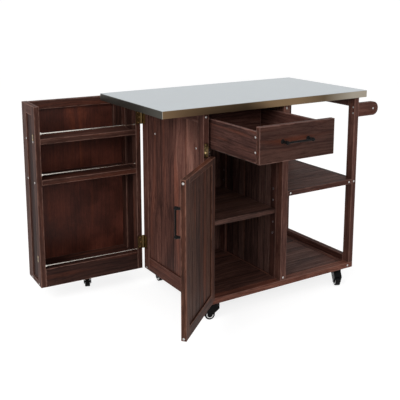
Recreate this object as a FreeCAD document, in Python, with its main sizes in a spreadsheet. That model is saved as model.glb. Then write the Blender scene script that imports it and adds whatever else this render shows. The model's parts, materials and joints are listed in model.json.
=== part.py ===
"""Rolling kitchen cart: cabinet on casters, drawer, door, towel rail and a swing-out shelf cabinet.

Everything is measured in the cabinet's own frame: X to the right from its left face, Y back from its
front face and Z up from its underside. The whole cart then stands on the floor at Z = 0, with the origin
below the middle of its bounding box as it stands open.
"""
import FreeCAD, Part
import math
import os
from types import SimpleNamespace

import Sketcher

SIZES = {
    # Cabinet
    "cabinet_width": 794,
    "cabinet_depth": 490,
    "cabinet_height": 771,
    "post_width": 24,
    "post_depth": 38,
    "divider_width": 30,
    "rear_stile_depth": 45,
    "base_rail_height": 24,
    "left_rail_height": 60,
    "right_rail_height": 50,
    "top_rail_height": 38,
    # Worktop
    "worktop_thickness": 29,
    "worktop_left_overhang": 183,
    "worktop_right_overhang": 31,
    "worktop_front_overhang": 14,
    "worktop_back_overhang": 26,
    "skin_thickness": 1.2,
    "skin_fold_radius": 2.5,
    # Planks
    "plank_thickness": 12,
    "side_plank_width": 102.5,
    "side_recess": 7,
    "side_batten_thickness": 7,
    "pin_stile_width": 40,
    "divider_plank_count": 7,
    "back_plank_count": 8,
    "back_recess": 23,
    "floor_plank_count": 4,
    "floor_strip_width": 27,
    # Open bay shelf
    "open_shelf_top": 410,
    "open_shelf_rail_height": 22,
    "open_shelf_rail_thickness": 20,
    "open_shelf_plank_count": 4,
    # Loose cabinet shelf and its pins
    "pin_radius": 3,
    "pin_length": 13,
    "pin_depth": 6,
    "pin_spacing": 48,
    "pin_hole_count": 5,
    "pin_hole_bottom": 220,
    "shelf_pin_row": 2,
    "shelf_side_gap": 1,
    "shelf_front": 40,
    "shelf_back_gap": 15,
    "shelf_plank_count": 4,
    "shelf_nosing_depth": 12,
    "shelf_nosing_height": 22,
    # Towel rail
    "towel_arm_length": 115,
    "towel_arm_height": 59,
    "towel_arm_thickness": 20,
    "towel_arm_drop": 27,
    "towel_bar_radius": 10,
    "towel_screw_spacing": 26,
    # Drawer
    "drawer_out": 305,
    "drawer_front_gap": 9,
    "drawer_front_thickness": 20,
    "drawer_front_height": 133,
    "drawer_top_gap": 4,
    "drawer_side_height": 114,
    "drawer_side_gap": 12,
    "drawer_side_thickness": 12,
    "drawer_end_thickness": 16,
    "drawer_end_lift": 6,
    "drawer_back_gap": 15,
    "drawer_bottom_thickness": 6,
    "drawer_bottom_lift": 8,
    "drawer_groove_depth": 5,
    "drawer_screw_low": 39,
    "drawer_screw_high": 93,
    # Drawer runners
    "runner_sheet": 1.2,
    "runner_height": 22,
    "runner_drop": 24,
    "runner_front": 6,
    "runner_reach": 10.2,
    "runner_back_gap": 15,
    "runner_overlap": 7,
    "runner_plate_length": 70,
    "roller_radius": 9.5,
    "roller_width": 8,
    "roller_inset": 12,
    "runner_screw_front": 63.6,
    "runner_screw_inset": 55,
    "runner_screw_rise": 18,
    # Bar pulls
    "pull_radius": 3.6,
    "pull_post_radius": 4,
    "pull_foot_radius": 7.5,
    "pull_foot_thickness": 3,
    "pull_reach": 27,
    "pull_length": 128,
    "pull_spacing": 114,
    "drawer_pull_shift": 11.5,
    "drawer_pull_lift": 6,
    "door_pull_length": 116,
    "door_pull_spacing": 102,
    "door_pull_drop": 218,
    "door_pull_inset": 26,
    # Door, with its pin just in front of the face
    "door_left_gap": 3,
    "door_thickness": 20,
    "door_bottom_gap": 3,
    "door_top_gap": 3,
    "door_stile_width": 40,
    "door_bottom_rail": 40,
    "door_top_rail": 22,
    "door_plank_count": 6,
    "door_plank_thickness": 10,
    "door_plank_recess": 4,
    "door_open_angle": 139.5,
    "door_screw_top_inset": 13,
    "door_screw_bottom_inset": 9,
    # Door hinges
    "door_leaf_height": 50,
    "door_leaf_width": 17,
    "door_leaf_thickness": 1.1,
    "door_leaf_gap": 0.4,
    "door_barrel_radius": 3,
    "door_hinge_inset": 130,
    # Swing cabinet
    "swing_open_angle": 93,
    "swing_pin_gap": 4.5,
    "swing_length": 464,
    "swing_depth": 172,
    "swing_top_gap": 4,
    "swing_post_width": 22,
    "swing_front_stile_depth": 40,
    "swing_rear_stile_depth": 56,
    "swing_top_rail": 40,
    "swing_bottom_rail": 20,
    "swing_panel_thickness": 10,
    "swing_panel_recess": 6,
    "swing_back_thickness": 6,
    "swing_back_rail": 36,
    "swing_back_rail_thickness": 16,
    "swing_back_stile": 42,
    "swing_shelf_thickness": 12,
    "swing_upper_shelf_drop": 153,
    "swing_shelf_spacing": 171,
    "swing_floor": 52,
    "swing_lip_thickness": 14,
    "swing_lip_height": 22,
    "swing_lip_drop": 3,
    "swing_front_board": 80,
    "rod_radius": 2.5,
    "rod_rise": 28.5,
    "rod_inset": 8,
    "rod_cup_radius": 5.5,
    "rod_cup_length": 6,
    "swing_screw_front": 27,
    "swing_screw_back": 120,
    # Swing hinges
    "swing_leaf_height": 58,
    "swing_leaf_width": 27,
    "swing_leaf_thickness": 2,
    "swing_cart_gap": 5,
    "swing_barrel_radius": 4,
    "swing_hinge_low": 124,
    "swing_hinge_drop": 85,
    # Brass latch and keeper plates
    "latch_left": 3,
    "latch_width": 17,
    "latch_height": 55,
    "latch_thickness": 1.5,
    "latch_low": 113,
    "latch_drop": 141,
    "latch_tongue_length": 18,
    "latch_tongue_width": 6,
    "latch_tongue_angle": 45,
    "keeper_width": 14,
    "keeper_height": 26,
    "keeper_rise": 8,
    "keeper_inset": 19,
    # Casters
    "caster_height": 74,
    "caster_side_inset": 70,
    "caster_end_inset": 30,
    "caster_plate_size": 48,
    "caster_plate_thickness": 2.5,
    "caster_block_size": 72,
    "wheel_radius": 21,
    "wheel_width": 22,
    "wheel_edge_radius": 2.5,
    "hub_radius": 13,
    "hub_recess": 1.6,
    "fork_trail": 20,
    "fork_wall": 4,
    "fork_wheel_gap": 1.5,
    "fork_crown_reach": 18,
    "fork_crown_thickness": 26,
    "fork_hood_reach": 22,
    "fork_boss_radius": 8.5,
    "fork_cover_radius": 22.5,
    "fork_cover_thickness": 15,
    "axle_radius": 4,
    "kingpin_radius": 4.5,
    "kingpin_head_radius": 7,
    "kingpin_head_thickness": 2.5,
    "front_left_swivel": -14,
    "front_right_swivel": 63,
    "rear_left_swivel": -95,
    "rear_right_swivel": 20,
    "swing_swivel": -111,
    "swing_caster_along": 225,
    "swing_caster_across": 112,
    # Screws
    "screw_head_radius": 4.4,
    "screw_head_height": 2.2,
    "screw_radius": 1.9,
    "screw_length": 18,
    "long_screw_length": 50,
    "screw_end_inset": 12.5,
    "apron_screw_inset": 15.5,
    "base_screw_inset": 29,
    "foot_screw_rise": 9,
    "cross_width": 1.2,
    "cross_span": 4.6,
    "cross_depth": 1.1,
    "brass_head_radius": 3,
    "brass_head_height": 2,
    "brass_screw_radius": 1.5,
    "brass_screw_length": 14,
    "brass_cross_span": 3.4,
    # Clearances
    "running_fit": 0.05,
    "screw_fit": 0.1,
    "seat_gap": 0.3,
    "cut_overrun": 2,
    # Where the origin lies in the cabinet's frame, measured from the built cart
    "origin_right": 0,
    "origin_back": 0,
}

document = FreeCAD.newDocument("kitchen_cart")
sheet = document.addObject("Spreadsheet::Sheet", "sizes")
for row, (name, number) in enumerate(SIZES.items(), start=1):
    sheet.set(f"A{row}", name)
    sheet.set(f"B{row}", str(number))
    sheet.setAlias(f"B{row}", name)


class Term:
    """A size or a sum of sizes, as a number and as the expression of the sheet's cells that gives it."""

    def __init__(self, value, text):
        self.value = value
        self.text = text

    def __str__(self):
        return self.text

    def __add__(self, other):
        return Term(self.value + number_of(other), f"({self} + {other})")

    def __sub__(self, other):
        return Term(self.value - number_of(other), f"({self} - {other})")

    def __mul__(self, other):
        return Term(self.value * number_of(other), f"({self} * {other})")

    def __truediv__(self, other):
        return Term(self.value / number_of(other), f"({self} / {other})")

    def __neg__(self):
        return Term(-self.value, f"(0 - {self})")


def number_of(term):
    """The number behind a term, or a plain number as it is."""
    return term.value if isinstance(term, Term) else term


size = SimpleNamespace(**{name: Term(number, f"sizes.{name}") for name, number in SIZES.items()})
ZERO = Term(0, "0")

# Turns that lay an upright piece along another axis
UPRIGHT = "rotation(vector(0; 0; 1); 0)"
ALONG_X = "rotation(vector(0; 1; 0); 90)"
AGAINST_X = "rotation(vector(0; 1; 0); -90)"
ALONG_Y = "rotation(vector(1; 0; 0); -90)"
AGAINST_Y = "rotation(vector(1; 0; 0); 90)"
DOWNWARD = "rotation(vector(1; 0; 0); 180)"


def about_z(angle):
    """A turn about the vertical."""
    return f"rotation(vector(0; 0; 1); {angle})"


def spot(x, y, z, turn=UPRIGHT):
    """The placement expression of a piece at a point, turned."""
    return f"placement(vector({x}; {y}; {z}); {turn})"


# Frames of the five groups of pieces
door_pin_left = size.post_width + size.door_leaf_gap + size.door_leaf_thickness
floor_level = size.caster_height
CART = spot(-size.origin_right, -size.origin_back, floor_level)
DRAWER = spot(-size.origin_right, -(size.origin_back + size.drawer_out), floor_level)
DOOR = spot(
    door_pin_left - size.origin_right,
    -(size.origin_back + size.door_barrel_radius),
    floor_level,
    about_z(-size.door_open_angle),
)
SWING = spot(
    -(size.origin_right + size.swing_cart_gap),
    size.cabinet_depth - size.origin_back,
    floor_level,
    about_z(-(size.swing_open_angle + 90)),
)

nodes = []


def bind(thing, **properties):
    """Tie properties of an object to terms."""
    for name, term in properties.items():
        thing.setExpression(name, str(term))
    return thing


def board(name, x, y, z, length, depth, height):
    """A squared piece of timber or sheet, from its low corner."""
    thing = document.addObject("Part::Box", name)
    bind(thing, Length=length, Width=depth, Height=height, Placement=spot(x, y, z))
    return thing


def dowel(name, x, y, z, radius, length, turn=UPRIGHT):
    """A round bar from the middle of its first end, upright unless it is turned."""
    thing = document.addObject("Part::Cylinder", name)
    bind(thing, Radius=radius, Height=length, Placement=spot(x, y, z, turn))
    return thing


def cone(name, x, y, z, first_radius, second_radius, length, turn=UPRIGHT):
    """A tapered round piece from the middle of its first end."""
    thing = document.addObject("Part::Cone", name)
    bind(thing, Radius1=first_radius, Radius2=second_radius, Height=length, Placement=spot(x, y, z, turn))
    return thing


def copy_of(master, placement):
    """One more of a piece that is made once."""
    thing = document.addObject("App::Link", f"{master.Name}_copy")
    thing.LinkedObject = master
    return bind(thing, Placement=placement)


def joined(name, pieces):
    """Pieces that are one solid."""
    thing = document.addObject("Part::MultiFuse", name)
    thing.Shapes = pieces
    return thing


def together(name, pieces):
    """Pieces that stay separate solids."""
    thing = document.addObject("Part::Compound", name)
    thing.Links = pieces
    return thing


def cut_from(name, base, tools):
    """A piece with others taken out of it."""
    thing = document.addObject("Part::Cut", name)
    thing.Base = base
    thing.Tool = tools[0] if len(tools) == 1 else together(f"{name}_tools", tools)
    return thing


def node(label, frame, pieces, holes=()):
    """One named sub-part: its pieces in their group's frame, less the holes drilled in them."""
    name = f"{label}_pieces" if holes else label
    thing = together(name, pieces)
    if holes:
        thing = cut_from(label, thing, list(holes))
    thing.Label = label
    bind(thing, Placement=frame)
    nodes.append(thing)
    return thing


def sketch_on(body, plane, lift=ZERO):
    """An empty sketch on one of a body's origin planes, lifted off it."""
    sketch = body.newObject("Sketcher::SketchObject", f"{body.Name}_sketch")
    support = next(item for item in body.Origin.OriginFeatures if item.Role == plane)
    sketch.AttachmentSupport = [(support, "")]
    sketch.MapMode = "FlatFace"
    sketch.setExpression("AttachmentOffset.Base.z", str(lift))
    return sketch


def draw_outline(sketch, points):
    """A closed outline through points given as pairs of terms, each held by its two distances."""
    first = sketch.GeometryCount
    count = len(points)
    vectors = [FreeCAD.Vector(number_of(x), number_of(y), 0) for x, y in points]
    for start, end in zip(vectors, vectors[1:] + vectors[:1]):
        sketch.addGeometry(Part.LineSegment(start, end), False)
    for step in range(count):
        following = first + (step + 1) % count
        sketch.addConstraint(Sketcher.Constraint("Coincident", first + step, 2, following, 1))
    for step, point in enumerate(points):
        for kind, term in zip(("DistanceX", "DistanceY"), point):
            value = float(number_of(term))
            index = sketch.addConstraint(Sketcher.Constraint(kind, -1, 1, first + step, 1, value))
            sketch.setExpression(f"Constraints[{index}]", str(term))


def rectangle(x, y, length, depth):
    """The corners of a rectangle from its low corner."""
    return [(x, y), (x + length, y), (x + length, y + depth), (x, y + depth)]


def turned(name, profile):
    """A body of revolution about its own Z, from the profile's pairs of radius and height."""
    body = document.addObject("PartDesign::Body", name)
    sketch = sketch_on(body, "XZ_Plane")
    draw_outline(sketch, profile)
    revolution = body.newObject("PartDesign::Revolution", f"{name}_revolution")
    revolution.Profile = sketch
    revolution.ReferenceAxis = (sketch, ["V_Axis"])
    revolution.Angle = 360
    return body


def cut_cross(body, lift, span, width, depth):
    """The cross recess of a screw, cut up from its head's face at a height."""
    arm, half = span / 2, width / 2
    sketch = sketch_on(body, "XY_Plane", lift)
    draw_outline(sketch, [
        (arm, half), (half, half), (half, arm), (-half, arm), (-half, half), (-arm, half),
        (-arm, -half), (-half, -half), (-half, -arm), (half, -arm), (half, -half), (arm, -half),
    ])
    pocket = body.newObject("PartDesign::Pocket", f"{body.Name}_cross")
    pocket.Profile = sketch
    pocket.Reversed = True
    bind(pocket, Length=depth)


def pan_screw(name, length, fit):
    """A pan-head screw whose head sits below Z = 0 and whose shank goes up; with a fit, its hole."""
    radius = size.screw_radius + fit
    if number_of(fit):
        return dowel(name, ZERO, ZERO, ZERO, radius, length + fit)
    crown = size.screw_head_radius * 0.55
    body = turned(name, [
        (ZERO, -size.screw_head_height), (crown, -size.screw_head_height),
        (size.screw_head_radius, -size.screw_head_height / 3), (size.screw_head_radius, ZERO),
        (radius, ZERO), (radius, length - radius), (ZERO, length),
    ])
    cut_cross(body, -size.screw_head_height, size.cross_span, size.cross_width, size.cross_depth)
    return body


def countersunk_screw(name, fit):
    """A countersunk screw with its head flush at Z = 0 and its shank going up; with a fit, its hole."""
    head = size.brass_head_radius + fit
    radius = size.brass_screw_radius + fit
    body = turned(name, [
        (ZERO, ZERO), (head, ZERO), (radius, size.brass_head_height),
        (radius, size.brass_screw_length + fit), (ZERO, size.brass_screw_length + fit),
    ])
    if not number_of(fit):
        cut_cross(body, ZERO, size.brass_cross_span, size.cross_width, size.cross_depth)
    return body


short_screw = pan_screw("short_screw", size.screw_length, ZERO)
short_hole = pan_screw("short_hole", size.screw_length, size.screw_fit)
long_screw = pan_screw("long_screw", size.long_screw_length, ZERO)
long_hole = pan_screw("long_hole", size.long_screw_length, size.screw_fit)
brass_screw = countersunk_screw("brass_screw", ZERO)
brass_hole = countersunk_screw("brass_hole", size.screw_fit)


def all_at(master, places):
    """Copies of a piece at each of the places."""
    return [copy_of(master, place) for place in places]


def plank_row(name, count, x, y, z, length, depth, height, along):
    """Boards side by side that fill a box; along is the axis that they are counted on."""
    planks = []
    for step in range(count):
        if along == "x":
            width = length / count
            planks.append(board(name, x + width * step, y, z, width, depth, height))
        else:
            width = depth / count
            planks.append(board(name, x, y + width * step, z, length, width, height))
    return planks


# Places in the cabinet's frame that several sub-parts share
width, depth, height = size.cabinet_width, size.cabinet_depth, size.cabinet_height
divider_left = (width - size.divider_width) / 2
divider_right = divider_left + size.divider_width
right_post_left = width - size.post_width
rear_post_front = depth - size.post_depth
rear_stile_front = depth - size.rear_stile_depth
top_rail_bottom = height - size.top_rail_height
bay_width = divider_left - size.post_width
open_bay_width = right_post_left - divider_right
rail_depth = rear_post_front - size.post_depth
back_front = depth - size.back_recess - size.plank_thickness
side_inner_left = size.post_width - size.side_batten_thickness
rear_pin_stile_front = rear_stile_front - size.pin_stile_width
divider_rear_stile_front = rear_post_front - size.pin_stile_width
pin_rows = [size.post_depth + size.pin_stile_width / 2, rear_stile_front - size.pin_stile_width / 2]
pin_level = size.pin_hole_bottom + size.pin_spacing * number_of(size.shelf_pin_row)
shelf_bottom = pin_level + size.pin_radius
open_shelf_bottom = size.open_shelf_top - size.open_shelf_rail_height
drawer_bottom = height - size.drawer_top_gap - size.drawer_front_height
runner_bottom = drawer_bottom - size.runner_drop
drawer_length = back_front - size.drawer_front_thickness - size.drawer_back_gap
door_bottom = size.base_rail_height + size.door_bottom_gap
door_top = runner_bottom - size.door_top_gap
door_height = door_top - door_bottom
door_width = bay_width - size.door_left_gap * 2
swing_top = height - size.swing_top_gap
latch_high = height - size.latch_drop


def screw_places_front():
    """Where the pan-head screws go into the front, left and right faces of the frame."""
    post_middle = size.post_width / 2
    upper = height - size.screw_end_inset
    lower = size.base_rail_height + size.screw_end_inset
    divider_middle = width / 2
    shelf_line = size.open_shelf_top - size.open_shelf_rail_height / 2
    shelf_inset = size.apron_screw_inset
    front = [
        (post_middle, upper), (divider_middle, upper), (divider_middle, lower),
        (width - size.base_screw_inset, size.base_rail_height / 2),
        (width - post_middle, shelf_line),
    ]
    return {
        "front": [spot(x, ZERO, z, ALONG_Y) for x, z in front],
        "apron": [
            spot(divider_right + shelf_inset, ZERO, shelf_line, ALONG_Y),
            spot(right_post_left - shelf_inset, ZERO, shelf_line, ALONG_Y),
        ],
        "left_rear": [
            spot(ZERO, depth - size.rear_stile_depth / 2, size.foot_screw_rise, ALONG_X),
            spot(ZERO, depth - size.rear_stile_depth / 2, upper, ALONG_X),
        ],
    }


def add_worktop():
    """A folded stainless sheet over a flat core board."""
    left = -size.worktop_left_overhang
    front = -size.worktop_front_overhang
    length = size.worktop_left_overhang + width + size.worktop_right_overhang
    span = size.worktop_front_overhang + depth + size.worktop_back_overhang
    sheet_metal = size.skin_thickness

    body = document.addObject("PartDesign::Body", "worktop_skin_body")
    outer = sketch_on(body, "XY_Plane", height)
    draw_outline(outer, rectangle(left, front, length, span))
    pad = body.newObject("PartDesign::Pad", "worktop_pad")
    pad.Profile = outer
    bind(pad, Length=size.worktop_thickness)
    document.recompute()

    underside = height.value
    folds = [
        f"Edge{index}"
        for index, edge in enumerate(pad.Shape.Edges, start=1)
        if edge.BoundBox.ZMax > underside + sheet_metal.value
    ]
    fillet = body.newObject("PartDesign::Fillet", "worktop_folds")
    fillet.Base = (pad, folds)
    bind(fillet, Radius=size.skin_fold_radius)
    inner = sketch_on(body, "XY_Plane", height)
    draw_outline(inner, rectangle(
        left + sheet_metal, front + sheet_metal, length - sheet_metal * 2, span - sheet_metal * 2,
    ))
    pocket = body.newObject("PartDesign::Pocket", "worktop_underside")
    pocket.Profile = inner
    pocket.Reversed = True
    bind(pocket, Length=size.worktop_thickness - sheet_metal)
    node("worktop_skin", CART, [body])
    node("worktop_core", CART, [board(
        "core", left + sheet_metal, front + sheet_metal, height,
        length - sheet_metal * 2, span - sheet_metal * 2, size.worktop_thickness - sheet_metal,
    )])


def add_posts():
    """Three posts in front and three behind; the left rear one is a stile that goes down to the casters."""
    base = size.base_rail_height
    tall = height - base
    screws = screw_places_front()
    towel = towel_screw_places()
    front = [
        board("front_left_post", ZERO, ZERO, base, size.post_width, size.post_depth, tall),
        board("front_divider_post", divider_left, ZERO, base, size.divider_width, size.post_depth, tall),
        board("front_right_post", right_post_left, ZERO, base, size.post_width, size.post_depth, tall),
    ]
    holes = all_at(short_hole, screws["front"]) + all_at(long_hole, towel["front_post"])
    holes += all_at(brass_hole, latch_screw_places() + door_post_hinge_screws())
    node("front_posts", CART, front, holes)
    rear = [
        board("rear_left_stile", ZERO, rear_stile_front, ZERO,
              size.post_width, size.rear_stile_depth, height),
        board(
            "rear_divider_post", divider_left, rear_post_front, base,
            size.divider_width, size.post_depth, tall,
        ),
        board(
            "rear_right_post", right_post_left, rear_post_front, base,
            size.post_width, size.post_depth, tall,
        ),
    ]
    holes = all_at(short_hole, screws["left_rear"]) + all_at(long_hole, towel["rear_post"])
    holes += all_at(brass_hole, swing_cart_hinge_screws())
    node("rear_posts", CART, rear, holes)


def add_base():
    """The frame that the posts stand on, and a block above each caster."""
    base = size.base_rail_height
    block = size.caster_block_size
    under_floor = base - size.plank_thickness
    rails = [
        board("front_base_rail", ZERO, ZERO, ZERO, width, size.post_depth, base),
        board(
            "rear_base_rail", size.post_width, rear_post_front, ZERO,
            width - size.post_width, size.post_depth, base,
        ),
        board(
            "left_base_rail", ZERO, size.post_depth, ZERO,
            size.post_width, rear_stile_front - size.post_depth, size.left_rail_height,
        ),
        board("divider_base_rail", divider_left, size.post_depth, ZERO,
              size.divider_width, rail_depth, base),
        board(
            "right_base_rail", right_post_left, size.post_depth, ZERO,
            size.post_width, rail_depth, size.right_rail_height,
        ),
    ]
    for left in (size.post_width, right_post_left - block):
        for front in (size.post_depth, rear_post_front - block):
            rails.append(board("caster_block", left, front, ZERO, block, block, under_floor))
    holes = all_at(short_hole, screw_places_front()["front"])
    node("base_rails", CART, rails, holes)

    floor = plank_row(
        "closed_floor", number_of(size.floor_plank_count), size.post_width, size.post_depth, under_floor,
        bay_width, rail_depth, size.plank_thickness, "y",
    )
    floor += plank_row(
        "open_floor", number_of(size.floor_plank_count), divider_right, size.post_depth, under_floor,
        open_bay_width - size.floor_strip_width, rail_depth, size.plank_thickness, "y",
    )
    floor.append(board(
        "floor_strip", right_post_left - size.floor_strip_width, size.post_depth, under_floor,
        size.floor_strip_width, rail_depth, size.plank_thickness,
    ))
    node("floor_boards", CART, floor)


def pin_holes():
    """The rows of shelf-pin holes: two in the left side and two in the divider."""
    holes = []
    long = size.pin_depth + size.cut_overrun
    for step in range(number_of(size.pin_hole_count)):
        level = size.pin_hole_bottom + size.pin_spacing * step
        for row in pin_rows:
            left = size.post_width - size.pin_depth
            holes.append(dowel("left_pin_hole", left, row, level, size.pin_radius, long, ALONG_X))
            right = divider_left + size.pin_depth
            holes.append(dowel("right_pin_hole", right, row, level, size.pin_radius, long, AGAINST_X))
    return holes


def add_walls():
    """The planked left side, divider and back of the closed bay, and the stiles with the pin holes."""
    base = size.base_rail_height
    side_bottom = size.left_rail_height
    side_height = top_rail_bottom - side_bottom
    divider_height = top_rail_bottom - base
    front = size.post_depth
    stile = size.pin_stile_width
    boards_front = front + stile

    side_plank_thickness = side_inner_left - size.side_recess
    span = rear_stile_front - boards_front
    whole = math.floor(number_of(span) / number_of(size.side_plank_width))
    boards = []
    for step in range(whole):
        back = rear_stile_front - size.side_plank_width * step
        boards.append(board(
            "side_plank", size.side_recess, back - size.side_plank_width, side_bottom,
            side_plank_thickness, size.side_plank_width, side_height,
        ))
    boards.append(board(
        "side_plank", size.side_recess, boards_front, side_bottom,
        side_plank_thickness, span - size.side_plank_width * whole, side_height,
    ))
    node("left_side_boards", CART, boards, all_at(short_hole, runner_screw_places()))

    inner_depth = size.post_width - side_inner_left
    stiles = [
        board("left_pin_stile", size.side_recess, front, side_bottom,
              size.post_width - size.side_recess, stile, side_height),
        board("left_rear_pin_stile", side_inner_left, rear_pin_stile_front, side_bottom,
              inner_depth, stile, side_height),
        board("divider_pin_stile", divider_left, front, base, size.divider_width, stile, divider_height),
        board("divider_rear_pin_stile", divider_left, divider_rear_stile_front, base,
              size.divider_width, stile, divider_height),
    ]
    node("pin_stiles", CART, stiles, pin_holes() + all_at(short_hole, runner_screw_places()))

    node("divider_boards", CART, plank_row(
        "divider_plank", number_of(size.divider_plank_count),
        divider_left + (size.divider_width - size.plank_thickness) / 2, boards_front, base,
        size.plank_thickness, divider_rear_stile_front - boards_front, divider_height, "y",
    ))
    node("back_boards", CART, plank_row(
        "back_plank", number_of(size.back_plank_count), size.post_width, back_front, base,
        bay_width, size.plank_thickness, divider_height, "x",
    ))


def add_top_rails():
    """Rails just under the worktop, at the sides, over the divider and along the back."""
    rail = size.top_rail_height
    node("top_rails", CART, [
        board("left_top_rail", ZERO, size.post_depth, top_rail_bottom,
              size.post_width, rear_stile_front - size.post_depth, rail),
        board("divider_top_rail", divider_left, size.post_depth, top_rail_bottom,
              size.divider_width, rail_depth, rail),
        board("right_top_rail", right_post_left, size.post_depth, top_rail_bottom,
              size.post_width, rail_depth, rail),
        board("closed_back_rail", size.post_width, rear_post_front, top_rail_bottom,
              bay_width, size.post_depth, rail),
        board("open_back_rail", divider_right, rear_post_front, top_rail_bottom,
              open_bay_width, size.post_depth, rail),
    ])


def add_open_shelf():
    """The fixed shelf of the open bay, between a front and a back apron and a rail on the right."""
    rail = size.open_shelf_rail_thickness
    tall = size.open_shelf_rail_height
    node("open_shelf_rails", CART, [
        board("front_apron", divider_right, ZERO, open_shelf_bottom, open_bay_width, rail, tall),
        board("back_apron", divider_right, depth - rail, open_shelf_bottom, open_bay_width, rail, tall),
        board("right_shelf_rail", right_post_left, size.post_depth, open_shelf_bottom,
              size.post_width, rail_depth, tall),
    ], all_at(short_hole, screw_places_front()["apron"]))
    node("open_shelf_boards", CART, plank_row(
        "open_shelf_plank", number_of(size.open_shelf_plank_count), divider_right, rail,
        size.open_shelf_top - size.plank_thickness,
        open_bay_width, depth - rail * 2, size.plank_thickness, "y",
    ))


def add_cabinet_shelf():
    """The loose shelf of the closed bay on its four pins."""
    left = size.post_width + size.shelf_side_gap
    length = bay_width - size.shelf_side_gap * 2
    nosing = size.shelf_nosing_depth
    top = shelf_bottom + size.plank_thickness
    nosing_piece = board("shelf_nosing", left, size.shelf_front, top - size.shelf_nosing_height,
                         length, nosing, size.shelf_nosing_height)
    planks = plank_row(
        "shelf_plank", number_of(size.shelf_plank_count), left, size.shelf_front + nosing, shelf_bottom,
        length, back_front - size.shelf_back_gap - size.shelf_front - nosing, size.plank_thickness, "y",
    )
    node("cabinet_shelf", CART, [nosing_piece] + planks)
    pins = []
    for row in pin_rows:
        left_end = size.post_width - size.pin_depth
        right_end = divider_left + size.pin_depth
        pins.append(dowel("left_pin", left_end, row, pin_level, size.pin_radius, size.pin_length, ALONG_X))
        pins.append(dowel("right_pin", right_end, row, pin_level,
                          size.pin_radius, size.pin_length, AGAINST_X))
    node("shelf_pins", CART, pins)


towel_arm_bottom = height - size.towel_arm_drop - size.towel_arm_height
towel_centre = towel_arm_bottom + size.towel_arm_height / 2
towel_bar_left = width + size.towel_arm_length - size.towel_arm_height / 2


def towel_screw_places():
    """Two long screws through each right post into its arm, and one through each arm into the bar."""
    places = {}
    for name, line in (("front_post", size.towel_arm_thickness / 2),
                       ("rear_post", depth - size.towel_arm_thickness / 2)):
        places[name] = [
            spot(right_post_left, line, towel_centre + size.towel_screw_spacing / 2 * side, ALONG_X)
            for side in (-1, 1)
        ]
    places["bar"] = [
        spot(towel_bar_left, ZERO, towel_centre, ALONG_Y),
        spot(towel_bar_left, depth, towel_centre, AGAINST_Y),
    ]
    return places


def add_towel_rail():
    """A round bar between two arms with rounded ends, on the right posts."""
    thick = size.towel_arm_thickness
    tall = size.towel_arm_height
    places = towel_screw_places()
    arms = []
    for line in (ZERO, depth - thick):
        straight = board("towel_arm_bar", width, line, towel_arm_bottom,
                         size.towel_arm_length - tall / 2, thick, tall)
        end = dowel("towel_arm_end", towel_bar_left, line, towel_centre, tall / 2, thick, ALONG_Y)
        arms.append(joined("towel_arm", [straight, end]))
    holes = all_at(long_hole, places["front_post"] + places["rear_post"] + places["bar"])
    node("towel_arms", CART, arms, holes)
    bar = dowel("bar", towel_bar_left, thick, towel_centre,
                size.towel_bar_radius, depth - thick * 2, ALONG_Y)
    node("towel_bar", CART, [bar], all_at(long_hole, places["bar"]))


def runner_screw_places():
    """The screws that hold the left runner, put in from outside."""
    level = runner_bottom + size.runner_screw_rise
    return [
        spot(size.side_recess, size.runner_screw_front, level, ALONG_X),
        spot(size.side_recess, rear_stile_front - size.runner_screw_inset, level, ALONG_X),
    ]


def add_cart_runners():
    """A channel at each side of the closed bay, open towards the drawer, with a roller in its mouth."""
    runners = []
    metal = size.runner_sheet
    reach = size.runner_reach
    top = runner_bottom + size.runner_height - metal
    middle = runner_bottom + size.runner_height / 2
    front = size.runner_front
    length = back_front - front - size.runner_back_gap
    for web, flange, axle, turn in (
        (size.post_width, size.post_width, size.post_width, ALONG_X),
        (divider_left - metal, divider_left - reach, divider_left, AGAINST_X),
    ):
        runners.append(joined("cart_runner", [
            board("runner_web", web, front, runner_bottom, metal, length, size.runner_height),
            board("runner_floor", flange, front, runner_bottom, reach, length, metal),
            board("runner_roof", flange, front, top, reach, length, metal),
            dowel("runner_roller", axle, front + size.roller_inset, middle, size.roller_radius, reach, turn),
        ]))
    node("cart_runners", CART, runners, all_at(short_hole, runner_screw_places()))


def drawer_screw_places():
    """Screws through each drawer side into the inner front and back."""
    bottom = drawer_bottom
    lines = [size.drawer_front_thickness + size.drawer_end_thickness / 2,
             size.drawer_front_thickness + drawer_length - size.drawer_end_thickness / 2]
    left = size.post_width + size.drawer_side_gap
    right = divider_left - size.drawer_side_gap
    places = []
    for line in lines:
        for level in (size.drawer_screw_low, size.drawer_screw_high):
            places.append(spot(left, line, bottom + level, ALONG_X))
            places.append(spot(right, line, bottom + level, AGAINST_X))
    return places


def add_pull(label, frame, x, y, z, length, spacing, holder_turn, along):
    """A round bar on two posts with feet; along is the bar's axis and the posts reach back to the board."""
    reach = size.pull_reach
    margin = (length - spacing) / 2
    if along == "x":
        bar = dowel("pull_bar", x, y - reach, z, size.pull_radius, length, ALONG_X)
        roots = [(x + margin, z), (x + margin + spacing, z)]
    else:
        bar = dowel("pull_bar", x, y - reach, z, size.pull_radius, length)
        roots = [(x, z + margin), (x, z + margin + spacing)]
    pieces = [bar]
    for across, level in roots:
        pieces.append(dowel("pull_post", across, y, level, size.pull_post_radius, reach, holder_turn))
        pieces.append(cone("pull_foot", across, y, level, size.pull_foot_radius,
                           size.pull_post_radius, size.pull_foot_thickness, holder_turn))
    node(label, frame, [joined(f"{label}_bar", pieces)])


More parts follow.
